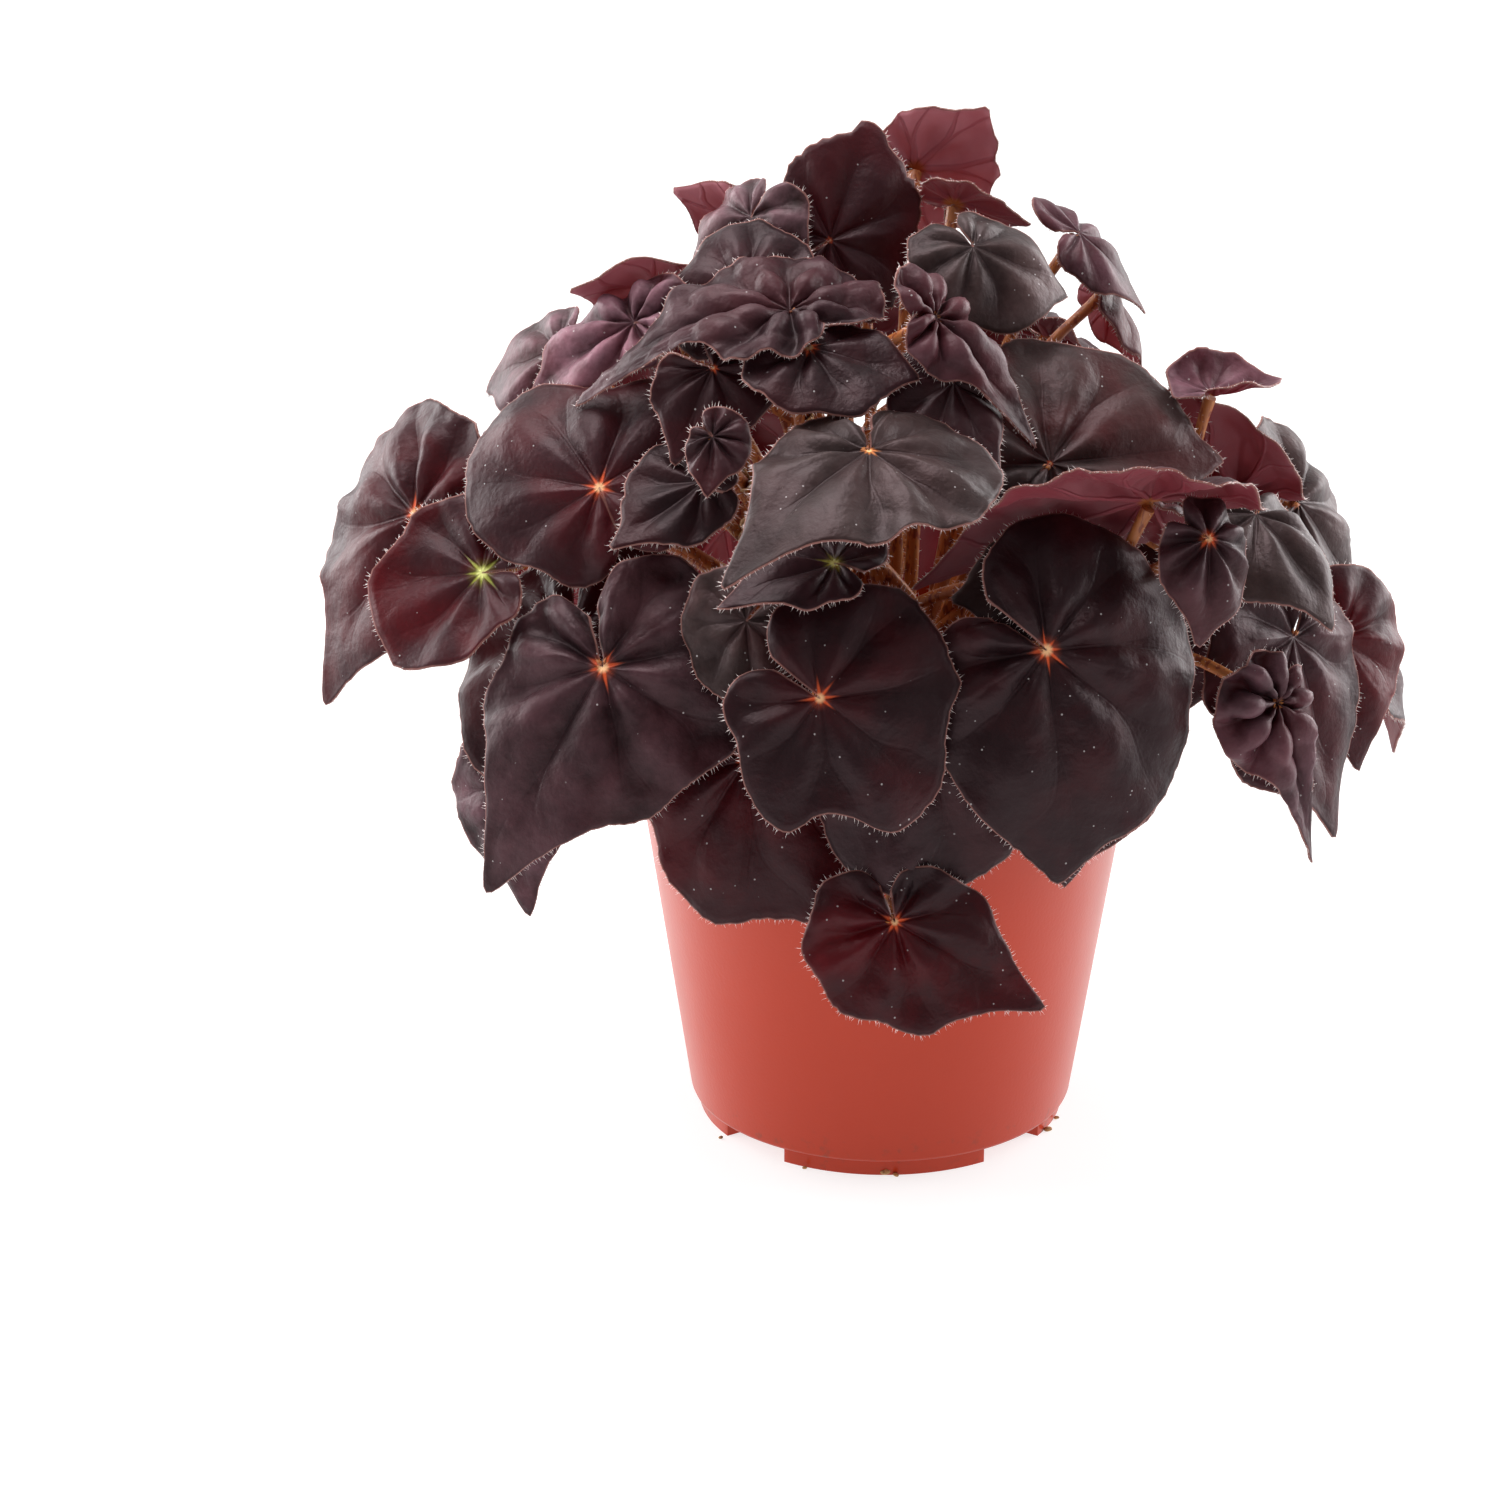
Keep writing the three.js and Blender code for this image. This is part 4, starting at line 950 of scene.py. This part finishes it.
@functools.lru_cache(maxsize=None)
def stalk_line(name):
    """Middle line of a leaf's stalk, from under the star down into the crown."""
    shape, tree = stalk_corners()
    under = blade_net(name)[2]
    section = [shape.verts[i] for _, i, _ in tree.find_n(under, SECTION_CORNERS)]
    seen = set(section)
    line = [middle_of(section)]
    while section and len(line) <= STALK_STEPS:
        ahead = {edge.other_vert(corner) for corner in section for edge in corner.link_edges} - seen
        seen |= ahead
        section = list(ahead) if is_section(list(ahead)) else None
        if section:
            line.append(middle_of(section))
    if len(line) == 1:
        tried = (section_ahead(line[0], step, (line[0] - under).normalized()) for step in FIRST_STEPS)
        line.append(next(found for found in tried if found))
    step = (line[1] - line[0]).length
    while len(line) <= STALK_STEPS and line[-1].z > CROWN_LEVEL:
        found = section_ahead(line[-1], step, (line[-1] - line[-2]).normalized())
        if found is None:
            break
        line.append(found)
    if line[-1].z > CROWN_LEVEL:
        last = line[-1]
        inward = min(1, CROWN_REACH / max(1e-6, math.hypot(last.x, last.y)))
        line.append(Vector((last.x * inward, last.y * inward, CROWN_LEVEL)))
    line[0] += (line[1] - line[0]).normalized() * fall_beside_star(name) * STALK_SECTION_RADIUS
    return line


def fall_beside_star(name):
    """How steeply a blade falls away from its star on the whole: 0 where level, 1 from 30 degrees on."""
    net, up, _ = blade_net(name)
    fall = (net[0] - net[1]) @ up / np.linalg.norm(net[0] - net[1], axis=1)
    return float(np.clip(fall.mean() * 2, 0, 1))


def smooth_line(line, count):
    """Evenly spaced places on a smooth curve through a line's corners."""
    corners = np.array(line)
    along = np.concatenate([[0], np.cumsum(np.linalg.norm(np.diff(corners, axis=0), axis=1))])
    at = np.linspace(0, along[-1], count)[:, None]
    return curve_through(along, corners[:, None, :], at)[:, 0]


def stalk_radius(settings, share):
    """Radius of a stalk, this share of the way down from its blade."""
    return settings.stalk_end_radius * (1 - share) + settings.stalk_foot_radius * share


class BEGONIA_OT_blades(bpy.types.Operator):
    """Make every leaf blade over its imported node"""
    bl_idname = "begonia.blades"
    bl_label = "Leaf blades"

    def execute(self, context):
        for number, name in enumerate(LEAF_NODES):
            make_blade(name, number, context.scene.begonia_foliage)
        return {"FINISHED"}


class BEGONIA_OT_stalks(bpy.types.Operator):
    """Make the crown and the smooth, tapering stalks"""
    bl_idname = "begonia.stalks"
    bl_label = "Crown and stalks"

    STALK_PLACES = 26
    FLARE = 0.35
    FLARE_FADE = 26
    CROWN_HEIGHT = 93 * MM
    CROWN_RADII = (22 * MM, 22 * MM, 7 * MM)
    LUMP_SCALE = 160
    LUMP_HEIGHT = 2.5 * MM
    LUMP_LIFT = 40 * MM

    def execute(self, context):
        settings = context.scene.begonia_foliage
        curve = bpy.data.curves.new("stalk_curves", "CURVE")
        curve.dimensions = "3D"
        curve.bevel_depth = 1
        curve.bevel_resolution = 2
        curve.use_fill_caps = True
        for name in LEAF_NODES:
            places = smooth_line(stalk_line(name), self.STALK_PLACES)
            spline = curve.splines.new("POLY")
            spline.points.add(len(places) - 1)
            for index, place in enumerate(places):
                share = index / (len(places) - 1)
                flare = 1 + self.FLARE * math.exp(-share * self.FLARE_FADE)
                spline.points[index].co = (*place, 1)
                spline.points[index].radius = flare * stalk_radius(settings, share)
        holder = bpy.data.objects.new("stalk_curves", curve)
        bpy.context.collection.objects.link(holder)
        tubes = bpy.data.meshes.new_from_object(holder.evaluated_get(bpy.context.evaluated_depsgraph_get()))
        bpy.data.objects.remove(holder)
        shape = bmesh.new()
        shape.from_mesh(tubes)
        place = Matrix.Translation((0, 0, self.CROWN_HEIGHT)) @ Matrix.Diagonal((*self.CROWN_RADII, 1))
        crown = bmesh.ops.create_uvsphere(shape, u_segments=40, v_segments=20, radius=1, matrix=place)
        for corner in crown["verts"]:
            lump = noise.noise(corner.co * self.LUMP_SCALE) * self.LUMP_HEIGHT
            corner.co += Vector((corner.co.x, corner.co.y, self.LUMP_LIFT)).normalized() * lump
        piece = add_object("stalks_and_crown", shape, surfaces()["stalk"])
        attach(piece, "root")
        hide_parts("crown_and_stalks")
        return {"FINISHED"}


def add_hair(shape, foot, direction, length, radius):
    turn = direction.to_track_quat("Z", "Y").to_matrix().to_4x4()
    matrix = Matrix.Translation(foot + direction * length * 0.5) @ turn
    bmesh.ops.create_cone(shape, cap_ends=False, segments=3, radius1=radius, radius2=0, depth=length,
                          matrix=matrix)


def side_of(along, random):
    """Chance direction square to a stalk."""
    side = Vector(random.normal(0, 1, 3))
    return (side - along * side.dot(along)).normalized()


def join_shapes(shapes):
    """One bmesh from many small ones."""
    joined = bmesh.new()
    carrier = bpy.data.meshes.new("carrier")
    for shape in shapes:
        shape.to_mesh(carrier)
        shape.free()
        joined.from_mesh(carrier)
    bpy.data.meshes.remove(carrier)
    return joined


class BEGONIA_OT_margin_hairs(bpy.types.Operator):
    """Stand pale hairs along the margin of every blade"""
    bl_idname = "begonia.margin_hairs"
    bl_label = "Margin hairs"

    LEAN = 0.28
    SHORTEST = 0.45
    LENGTH_SPREAD = 0.9
    ROOT = 0.1 * MM

    def execute(self, context):
        settings = context.scene.begonia_foliage
        random = np.random.default_rng(SEED)
        parts = []
        for name in LEAF_NODES:
            blade = bmesh.new()
            blade.from_mesh(bpy.data.objects[name.replace("leaf_", "blade_")].data)
            hairs = bmesh.new()
            for edge in [e for e in blade.edges if e.is_boundary]:
                self.hair_edge(hairs, edge, random, settings)
            blade.free()
            parts.append(hairs)
        piece = add_object("margin_hairs", join_shapes(parts), surfaces()["hair"])
        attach(piece, "root")
        return {"FINISHED"}

    def hair_edge(self, hairs, edge, random, settings):
        """Adds the hairs of one edge of a blade's margin."""
        face = edge.link_faces[0]
        start, end = edge.verts[0].co, edge.verts[1].co
        along = end - start
        outward = along.cross(face.normal).normalized()
        if outward.dot((start + end) / 2 - face.calc_center_median()) < 0:
            outward.negate()
        sink = face.normal * settings.blade_thickness * 0.5
        for _ in range(int(along.length / settings.margin_hair_spacing + random.random())):
            foot = start + along * random.random() - sink
            direction = (outward + Vector(random.normal(0, self.LEAN, 3))).normalized()
            length = settings.margin_hair_length * (self.SHORTEST + self.LENGTH_SPREAD * random.random())
            add_hair(hairs, foot - direction * self.ROOT, direction, length, settings.hair_radius)


class BEGONIA_OT_stalk_hairs(bpy.types.Operator):
    """Stand pale hairs on the stalks"""
    bl_idname = "begonia.stalk_hairs"
    bl_label = "Stalk hairs"

    STALK_PLACES = 90
    BARE_PLACES = 8
    HAIRS_AT_A_PLACE = 2
    LEAN = 0.25
    STRAY = 0.5
    SUNK = 0.9
    SHORTEST = 0.4
    LENGTH_SPREAD = 0.8

    def execute(self, context):
        settings = context.scene.begonia_foliage
        random = np.random.default_rng(SEED + 1)
        parts = []
        for name in LEAF_NODES:
            line = [Vector(place) for place in smooth_line(stalk_line(name), self.STALK_PLACES)]
            hairs = bmesh.new()
            for index in range(1, len(line) - self.BARE_PLACES):
                along = (line[index + 1] - line[index - 1]).normalized()
                radius = stalk_radius(settings, index / (len(line) - 1))
                for _ in range(self.HAIRS_AT_A_PLACE):
                    side = side_of(along, random)
                    direction = (side + along * random.normal(0, self.LEAN)).normalized()
                    foot = line[index] + side * radius * self.SUNK + along * random.normal(0, self.STRAY) * MM
                    length = settings.margin_hair_length * (
                        self.SHORTEST + self.LENGTH_SPREAD * random.random())
                    add_hair(hairs, foot, direction, length, settings.hair_radius)
            parts.append(hairs)
        piece = add_object("stalk_hairs", join_shapes(parts), surfaces()["hair"])
        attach(piece, "root")
        return {"FINISHED"}


class BEGONIA_OT_bud_scales(bpy.types.Operator):
    """Clasp papery bud scales round some of the stalks"""
    bl_idname = "begonia.bud_scales"
    bl_label = "Bud scales"

    # Leaves whose stalks carry two scales, and how far down the stalk these sit
    PLACES = {
        "leaf_top_dark": 0.3, "leaf_high_shadow": 0.25, "leaf_high_grey": 0.45, "leaf_front_high": 0.5,
        "leaf_small_ribbed": 0.3, "leaf_middle_shadow": 0.3, "leaf_left_high": 0.35, "leaf_top_arch": 0.5,
        "leaf_right_mottled": 0.4, "leaf_back_high": 0.4,
    }
    STALK_PLACES = 60
    LENGTH = 9 * MM
    WIDTH = 3.6 * MM
    WALL = 0.3 * MM
    ROWS = 8
    COLUMNS = 5
    SMALLEST = 0.75
    SIZE_SPREAD = 0.5

    def execute(self, context):
        random = np.random.default_rng(SEED + 3)
        scales = []
        for name, share in self.PLACES.items():
            line = smooth_line(stalk_line(name), self.STALK_PLACES)
            index = int(share * (len(line) - 1))
            foot = Vector(line[index])
            upward = (Vector(line[index - 2]) - foot).normalized()
            for _ in range(2):
                side = side_of(upward, random)
                size = self.SMALLEST + self.SIZE_SPREAD * random.random()
                scales.append(self.make_scale(foot, upward, side, size))
        piece = add_object("bud_scales", join_shapes(scales), surfaces()["scale"])
        wall = piece.modifiers.new("thickness", "SOLIDIFY")
        wall.thickness = self.WALL
        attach(piece, "root")
        return {"FINISHED"}

    def make_scale(self, foot, upward, side, size):
        """A pointed sheet, hollow towards the stalk, that leans away from it."""
        shape = bmesh.new()
        bmesh.ops.create_grid(shape, x_segments=self.COLUMNS, y_segments=self.ROWS, size=1)
        across = upward.cross(side)
        length = self.LENGTH * size
        for corner in shape.verts:
            reach = (corner.co.y + 1) / 2
            width = self.WIDTH * size * math.sin(math.pi * (0.12 + 0.86 * reach)) ** 0.8
            lean = length * (0.12 + 0.45 * reach ** 1.6) - abs(corner.co.x) * width * 0.35
            aside = corner.co.x * width * 0.5
            corner.co = foot + upward * reach * length + across * aside + side * lean
        return shape


class BEGONIA_OT_pot(bpy.types.Operator):
    """Make the round plastic pot with its collar, feet and drain holes"""
    bl_idname = "begonia.pot"
    bl_label = "Pot"

    FOOT_HEIGHT = 4 * MM
    FLOOR = 1.8 * MM
    WALL = 1.6 * MM
    COLLAR = 15 * MM
    FOOT_OUTER = 42 * MM
    FOOT_INNER = 36 * MM
    FOOT_COUNT = 4
    FOOT_SPAN = 64 * DEGREE
    DRAIN_COUNT = 6
    DRAIN_CIRCLE = 27 * MM
    DRAIN_RADIUS = 4 * MM
    DRAIN_DEPTH = 10 * MM
    EDGE_RADIUS = 0.25 * MM
    SHARP_ANGLE = 50 * DEGREE

    def execute(self, context):
        settings = context.scene.begonia_pot
        foot, floor = self.FOOT_HEIGHT, self.FOOT_HEIGHT + self.FLOOR
        shape = self.spin_body(settings, foot, floor)
        self.draw_feet(shape, foot)
        piece = add_object("plastic_pot", shape, surfaces()["pot"])
        self.cut_drains(piece, floor)
        soft_edges = piece.modifiers.new("soft_edges", "BEVEL")
        soft_edges.width = self.EDGE_RADIUS
        soft_edges.segments = 2
        soft_edges.limit_method = "ANGLE"
        soft_edges.angle_limit = self.SHARP_ANGLE
        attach(piece, "root")
        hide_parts("pot")
        return {"FINISHED"}

    def spin_body(self, settings, foot, floor):
        """Spins half of the pot's section, from the middle of its underside round to its floor inside."""
        top, wall = settings.height, self.WALL
        neck = top - self.COLLAR
        base, throat, rim = settings.base_radius, settings.neck_radius, settings.rim_radius
        profile = [
            (0, foot), (self.FOOT_INNER, foot), (self.FOOT_OUTER, foot), (base - 0.9 * MM, foot),
            (base - 0.25 * MM, foot + 0.25 * MM), (base, foot + 0.9 * MM),
            (throat - 0.2 * MM, neck - 2.2 * MM), (throat + 0.4 * MM, neck - 1.4 * MM),
            (rim - 1.4 * MM, neck - 0.2 * MM), (rim - 0.7 * MM, neck + 0.4 * MM),
            (rim - 0.5 * MM, neck + 1.5 * MM), (rim, top - 1.4 * MM), (rim - 0.15 * MM, top - 0.5 * MM),
            (rim - 0.6 * MM, top), (rim - wall, top), (rim - wall - 0.3 * MM, top - 0.6 * MM),
            (rim - wall - 0.8 * MM, neck + 1 * MM), (throat - wall, neck - 1.5 * MM),
            (base - wall + 0.1 * MM, floor + 1 * MM), (base - wall - 1 * MM, floor), (0, floor),
        ]
        shape = bmesh.new()
        corners = [shape.verts.new((0, -radius, z)) for radius, z in profile]
        edges = [shape.edges.new(pair) for pair in zip(corners, corners[1:])]
        bmesh.ops.spin(shape, geom=corners + edges, cent=(0, 0, 0), axis=(0, 0, 1), angle=math.tau,
                       steps=settings.segments, use_merge=True, use_duplicate=False)
        bmesh.ops.remove_doubles(shape, verts=shape.verts, dist=MERGE_DISTANCE)
        bmesh.ops.recalc_face_normals(shape, faces=shape.faces)
        return shape

    def draw_feet(self, shape, foot):
        """Draws the floor's ring down along four arcs."""
        feet = []
        for face in shape.faces:
            middle = face.calc_center_median()
            out = math.hypot(middle.x, middle.y)
            if abs(middle.z - foot) > 0.1 * MM or not self.FOOT_INNER < out < self.FOOT_OUTER:
                continue
            turn = math.atan2(middle.y, middle.x) + math.pi / 2
            aside = abs((turn + self.FOOT_SPAN / 2) % (math.tau / self.FOOT_COUNT) - self.FOOT_SPAN / 2)
            if aside < self.FOOT_SPAN / 2:
                feet.append(face)
        drawn = bmesh.ops.extrude_face_region(shape, geom=feet)
        bmesh.ops.delete(shape, geom=feet, context="FACES")
        bmesh.ops.translate(shape, verts=new_corners(drawn), vec=(0, 0, -foot))
        bmesh.ops.recalc_face_normals(shape, faces=shape.faces)

    def cut_drains(self, piece, floor):
        """Cuts a ring of round holes and one in the middle through the floor, for good."""
        angles = [(index + 0.5) * math.tau / self.DRAIN_COUNT for index in range(self.DRAIN_COUNT)]
        places = [(math.cos(angle), math.sin(angle)) for angle in angles] + [(0, 0)]
        shape = bmesh.new()
        for x, y in places:
            place = Vector((self.DRAIN_CIRCLE * x, self.DRAIN_CIRCLE * y, floor))
            bmesh.ops.create_cone(shape, cap_ends=True, segments=24, radius1=self.DRAIN_RADIUS,
                                  radius2=self.DRAIN_RADIUS, depth=self.DRAIN_DEPTH,
                                  matrix=Matrix.Translation(place))
        cutter = add_object("drain_cutter", shape)
        cut = piece.modifiers.new("drains", "BOOLEAN")
        cut.object = cutter
        cut.operation = "DIFFERENCE"
        cut.solver = "EXACT"
        result = bpy.data.meshes.new_from_object(piece.evaluated_get(bpy.context.evaluated_depsgraph_get()))
        piece.modifiers.remove(cut)
        piece.data = result
        bpy.data.objects.remove(cutter)


class BEGONIA_OT_soil(bpy.types.Operator):
    """Fill the pot with crumbly soil"""
    bl_idname = "begonia.soil"
    bl_label = "Soil"

    LEVEL = 95 * MM
    MOUND = 2.5 * MM
    GRID = 110
    WALL_GAP = 1.9 * MM
    OVERLAP = 0.6 * MM
    TAPER = 2 * MM
    DEPTH_UNDER_NECK = 12 * MM
    LUMP_SCALE = 150
    LUMP_HEIGHT = 1.4 * MM
    CRUMB_COUNT = 900
    SMALLEST_CRUMB = 0.5
    CRUMB_SPREAD = 1.1

    def execute(self, context):
        settings = context.scene.begonia_pot
        random = np.random.default_rng(SEED + 2)
        side = settings.neck_radius - self.WALL_GAP
        parts = [self.make_ground(settings, side), self.strew_crumbs(random, side)]
        piece = add_object("potting_soil", join_shapes(parts), surfaces()["soil"])
        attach(piece, "root")
        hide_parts("soil")
        return {"FINISHED"}

    def mound(self, out, side):
        return self.MOUND * (1 - (out / side) ** 2)

    def make_ground(self, settings, side):
        """Lumpy round top with a skirt down the inside of the pot."""
        shape = bmesh.new()
        bmesh.ops.create_grid(shape, x_segments=self.GRID, y_segments=self.GRID, size=settings.rim_radius)
        outside = [v for v in shape.verts if math.hypot(v.co.x, v.co.y) > side + self.OVERLAP]
        bmesh.ops.delete(shape, geom=outside, context="VERTS")
        for corner in shape.verts:
            mound = self.mound(math.hypot(corner.co.x, corner.co.y), side)
            lumps = noise.fractal(corner.co * self.LUMP_SCALE, 1.0, 2.0, 4) * self.LUMP_HEIGHT
            corner.co.z = self.LEVEL + mound + lumps * 0.7 - 0.6 * MM
        drawn = bmesh.ops.extrude_edge_only(shape, edges=[e for e in shape.edges if e.is_boundary])
        bottom = settings.height - BEGONIA_OT_pot.COLLAR - self.DEPTH_UNDER_NECK
        for corner in new_corners(drawn):
            out = math.hypot(corner.co.x, corner.co.y)
            low = side - self.TAPER
            corner.co = (corner.co.x / out * low, corner.co.y / out * low, bottom)
        return shape

    def strew_crumbs(self, random, side):
        """Crumbs all over the top."""
        crumbs = bmesh.new()
        for _ in range(self.CRUMB_COUNT):
            out = math.sqrt(random.random()) * (side - 1.5 * MM)
            turn = random.random() * math.tau
            size = (self.SMALLEST_CRUMB + self.CRUMB_SPREAD * random.random() ** 2) * MM
            height = self.LEVEL + self.mound(out, side) + 0.2 * MM
            place = Matrix.Translation((out * math.cos(turn), out * math.sin(turn), height))
            angle = random.random() * math.tau
            spin = Matrix.Rotation(angle, 4, Vector(random.normal(0, 1, 3)).normalized())
            stretch = Matrix.Diagonal((*(size * (0.7 + 0.6 * random.random(3))), 1))
            bmesh.ops.create_icosphere(crumbs, subdivisions=1, radius=1, matrix=place @ spin @ stretch)
        return crumbs


class BEGONIA_OT_crumbs(bpy.types.Operator):
    """Leave a few crumbs of soil at the pot's foot"""
    bl_idname = "begonia.crumbs"
    bl_label = "Crumbs"

    # Places on the floor beside the feet, and sizes, in mm
    CRUMBS = (
        ((0, -41.5), 1.3), ((2.4, -42.6), 0.7), ((-18, -39), 0.6), ((38, -20), 0.9), ((40.4, -14), 0.7),
        ((-37, -24), 0.6),
    )
    FLATNESS = 0.55
    NARROWNESS = 0.8
    LUMP_SCALE = 900
    LUMP_SHARE = 0.3
    FLOOR_GAP = 0.02 * MM

    def execute(self, context):
        random = np.random.default_rng(SEED + 4)
        shape = bmesh.new()
        for (x, y), size in self.CRUMBS:
            spin = Matrix.Rotation(random.random() * math.tau, 4, "Z")
            place = Matrix.Translation(Vector((x, y, size * self.FLATNESS)) * MM)
            stretch = Matrix.Diagonal((size * MM, size * self.NARROWNESS * MM, size * self.FLATNESS * MM, 1))
            made = bmesh.ops.create_icosphere(shape, subdivisions=3, radius=1, matrix=place @ spin @ stretch)
            for corner in made["verts"]:
                lump = noise.noise(corner.co * self.LUMP_SCALE) * self.LUMP_SHARE * size * MM
                corner.co += (corner.co - place.translation).normalized() * lump
                corner.co.z = max(corner.co.z, self.FLOOR_GAP)
        piece = add_object("soil_crumbs", shape, surfaces()["scale"])
        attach(piece, "root")
        return {"FINISHED"}


class BEGONIA_OT_stage(bpy.types.Operator):
    """Set the floor, the lights and the camera"""
    bl_idname = "begonia.stage"
    bl_label = "Stage"

    PLANT_MIDDLE = Vector((0, 0, 0.12))
    FLOOR_SIZE = 5
    SENSOR_WIDTH = 36
    CLIPPING = (0.05, 50)
    # The surroundings brighten from the front to the back, as the direction's Y rises through this range
    BRIGHTENING = (-0.9, 0.3)
    # Place, size and which power each softbox has
    SOFTBOXES = {
        "overhead_softbox": ((-0.25, 0.1, 1.1), (0.9, 0.6), "overhead_power"),
        "left_softbox": ((-0.9, 0.45, 0.3), (1.1, 0.8), "side_power"),
        "right_softbox": ((0.9, 0.45, 0.3), (1.1, 0.8), "side_power"),
    }

    def execute(self, context):
        scene = context.scene
        settings = scene.begonia_stage
        scene.view_settings.view_transform = "Standard"
        shape = bmesh.new()
        bmesh.ops.create_grid(shape, x_segments=1, y_segments=1, size=self.FLOOR_SIZE)
        floor = add_object("floor", shape, make_floor_surface(settings))
        floor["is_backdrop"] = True
        scene.world = self.make_surroundings(settings)
        for name, (place, size, power) in self.SOFTBOXES.items():
            self.hang_softbox(name, place, size, getattr(settings, power))

        camera = bpy.data.cameras.new("camera")
        camera.lens = settings.lens
        camera.sensor_width = self.SENSOR_WIDTH
        camera.sensor_fit = "HORIZONTAL"
        camera.clip_start, camera.clip_end = self.CLIPPING
        seen = bpy.data.objects.new("camera", camera)
        seen.location = settings.camera_place
        seen.rotation_euler = (math.pi / 2 - settings.camera_pitch, 0, 0)
        context.collection.objects.link(seen)
        scene.camera = seen
        return {"FINISHED"}

    def make_surroundings(self, settings):
        """White world that is dimmer in front of the plant."""
        world = bpy.data.worlds.new("white_surroundings")
        world.use_nodes = True
        tree = world.node_tree
        ways = tree.nodes.new("ShaderNodeSeparateXYZ")
        tree.links.new(tree.nodes.new("ShaderNodeTexCoord").outputs["Generated"], ways.inputs[0])
        dimmer = tree.nodes.new("ShaderNodeMapRange")
        dimmer.interpolation_type = "SMOOTHSTEP"
        tree.links.new(ways.outputs["Y"], dimmer.inputs["Value"])
        ends = (*self.BRIGHTENING, settings.front_light, settings.surroundings)
        for key, value in zip(("From Min", "From Max", "To Min", "To Max"), ends):
            dimmer.inputs[key].default_value = value
        back = tree.nodes["Background"]
        back.inputs["Color"].default_value = (1, 1, 1, 1)
        tree.links.new(dimmer.outputs["Result"], back.inputs["Strength"])
        return world

    def hang_softbox(self, name, place, size, power):
        """Hangs a rectangular softbox that faces the plant."""
        lamp = bpy.data.lights.new(name, "AREA")
        lamp.energy = power
        lamp.shape = "RECTANGLE"
        lamp.size, lamp.size_y = size
        hung = bpy.data.objects.new(name, lamp)
        hung.location = place
        hung.rotation_euler = (self.PLANT_MIDDLE - hung.location).to_track_quat("-Z", "Y").to_euler()
        bpy.context.collection.objects.link(hung)


OPERATORS = (
    BEGONIA_OT_stage, BEGONIA_OT_pot, BEGONIA_OT_soil, BEGONIA_OT_blades, BEGONIA_OT_stalks,
    BEGONIA_OT_margin_hairs, BEGONIA_OT_stalk_hairs, BEGONIA_OT_bud_scales, BEGONIA_OT_crumbs,
)


class BEGONIA_PT_panel(bpy.types.Panel):
    """The begonia's pieces and their settings"""
    bl_idname = "BEGONIA_PT_panel"
    bl_label = "Potted Begonia"
    bl_space_type = "VIEW_3D"
    bl_region_type = "UI"
    bl_category = "Begonia"

    def draw(self, context):
        for operator in OPERATORS:
            self.layout.operator(operator.bl_idname)
        for group in SETTINGS:
            settings = getattr(context.scene, group)
            box = self.layout.box()
            for name in settings.bl_rna.properties.keys():
                if name not in ("rna_type", "name"):
                    box.prop(settings, name)


SETTINGS = {
    "begonia_foliage": BegoniaFoliageSettings,
    "begonia_pot": BegoniaPotSettings,
    "begonia_stage": BegoniaStageSettings,
}


def register():
    for group in (*SETTINGS.values(), *OPERATORS, BEGONIA_PT_panel):
        bpy.utils.register_class(group)
    for name, group in SETTINGS.items():
        setattr(bpy.types.Scene, name, PointerProperty(type=group))


def unregister():
    for name in SETTINGS:
        delattr(bpy.types.Scene, name)
    for group in reversed((*SETTINGS.values(), *OPERATORS, BEGONIA_PT_panel)):
        bpy.utils.unregister_class(group)


def main():
    register()
    bpy.ops.begonia.stage()
    bpy.ops.begonia.pot()
    bpy.ops.begonia.soil()
    bpy.ops.begonia.blades()
    bpy.ops.begonia.stalks()
    bpy.ops.begonia.margin_hairs()
    bpy.ops.begonia.stalk_hairs()
    bpy.ops.begonia.bud_scales()
    bpy.ops.begonia.crumbs()
    [[list(map(float, corner)) for corner in box] for box in (CAD_BOX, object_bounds())]


if __name__ == "__main__":
    main()
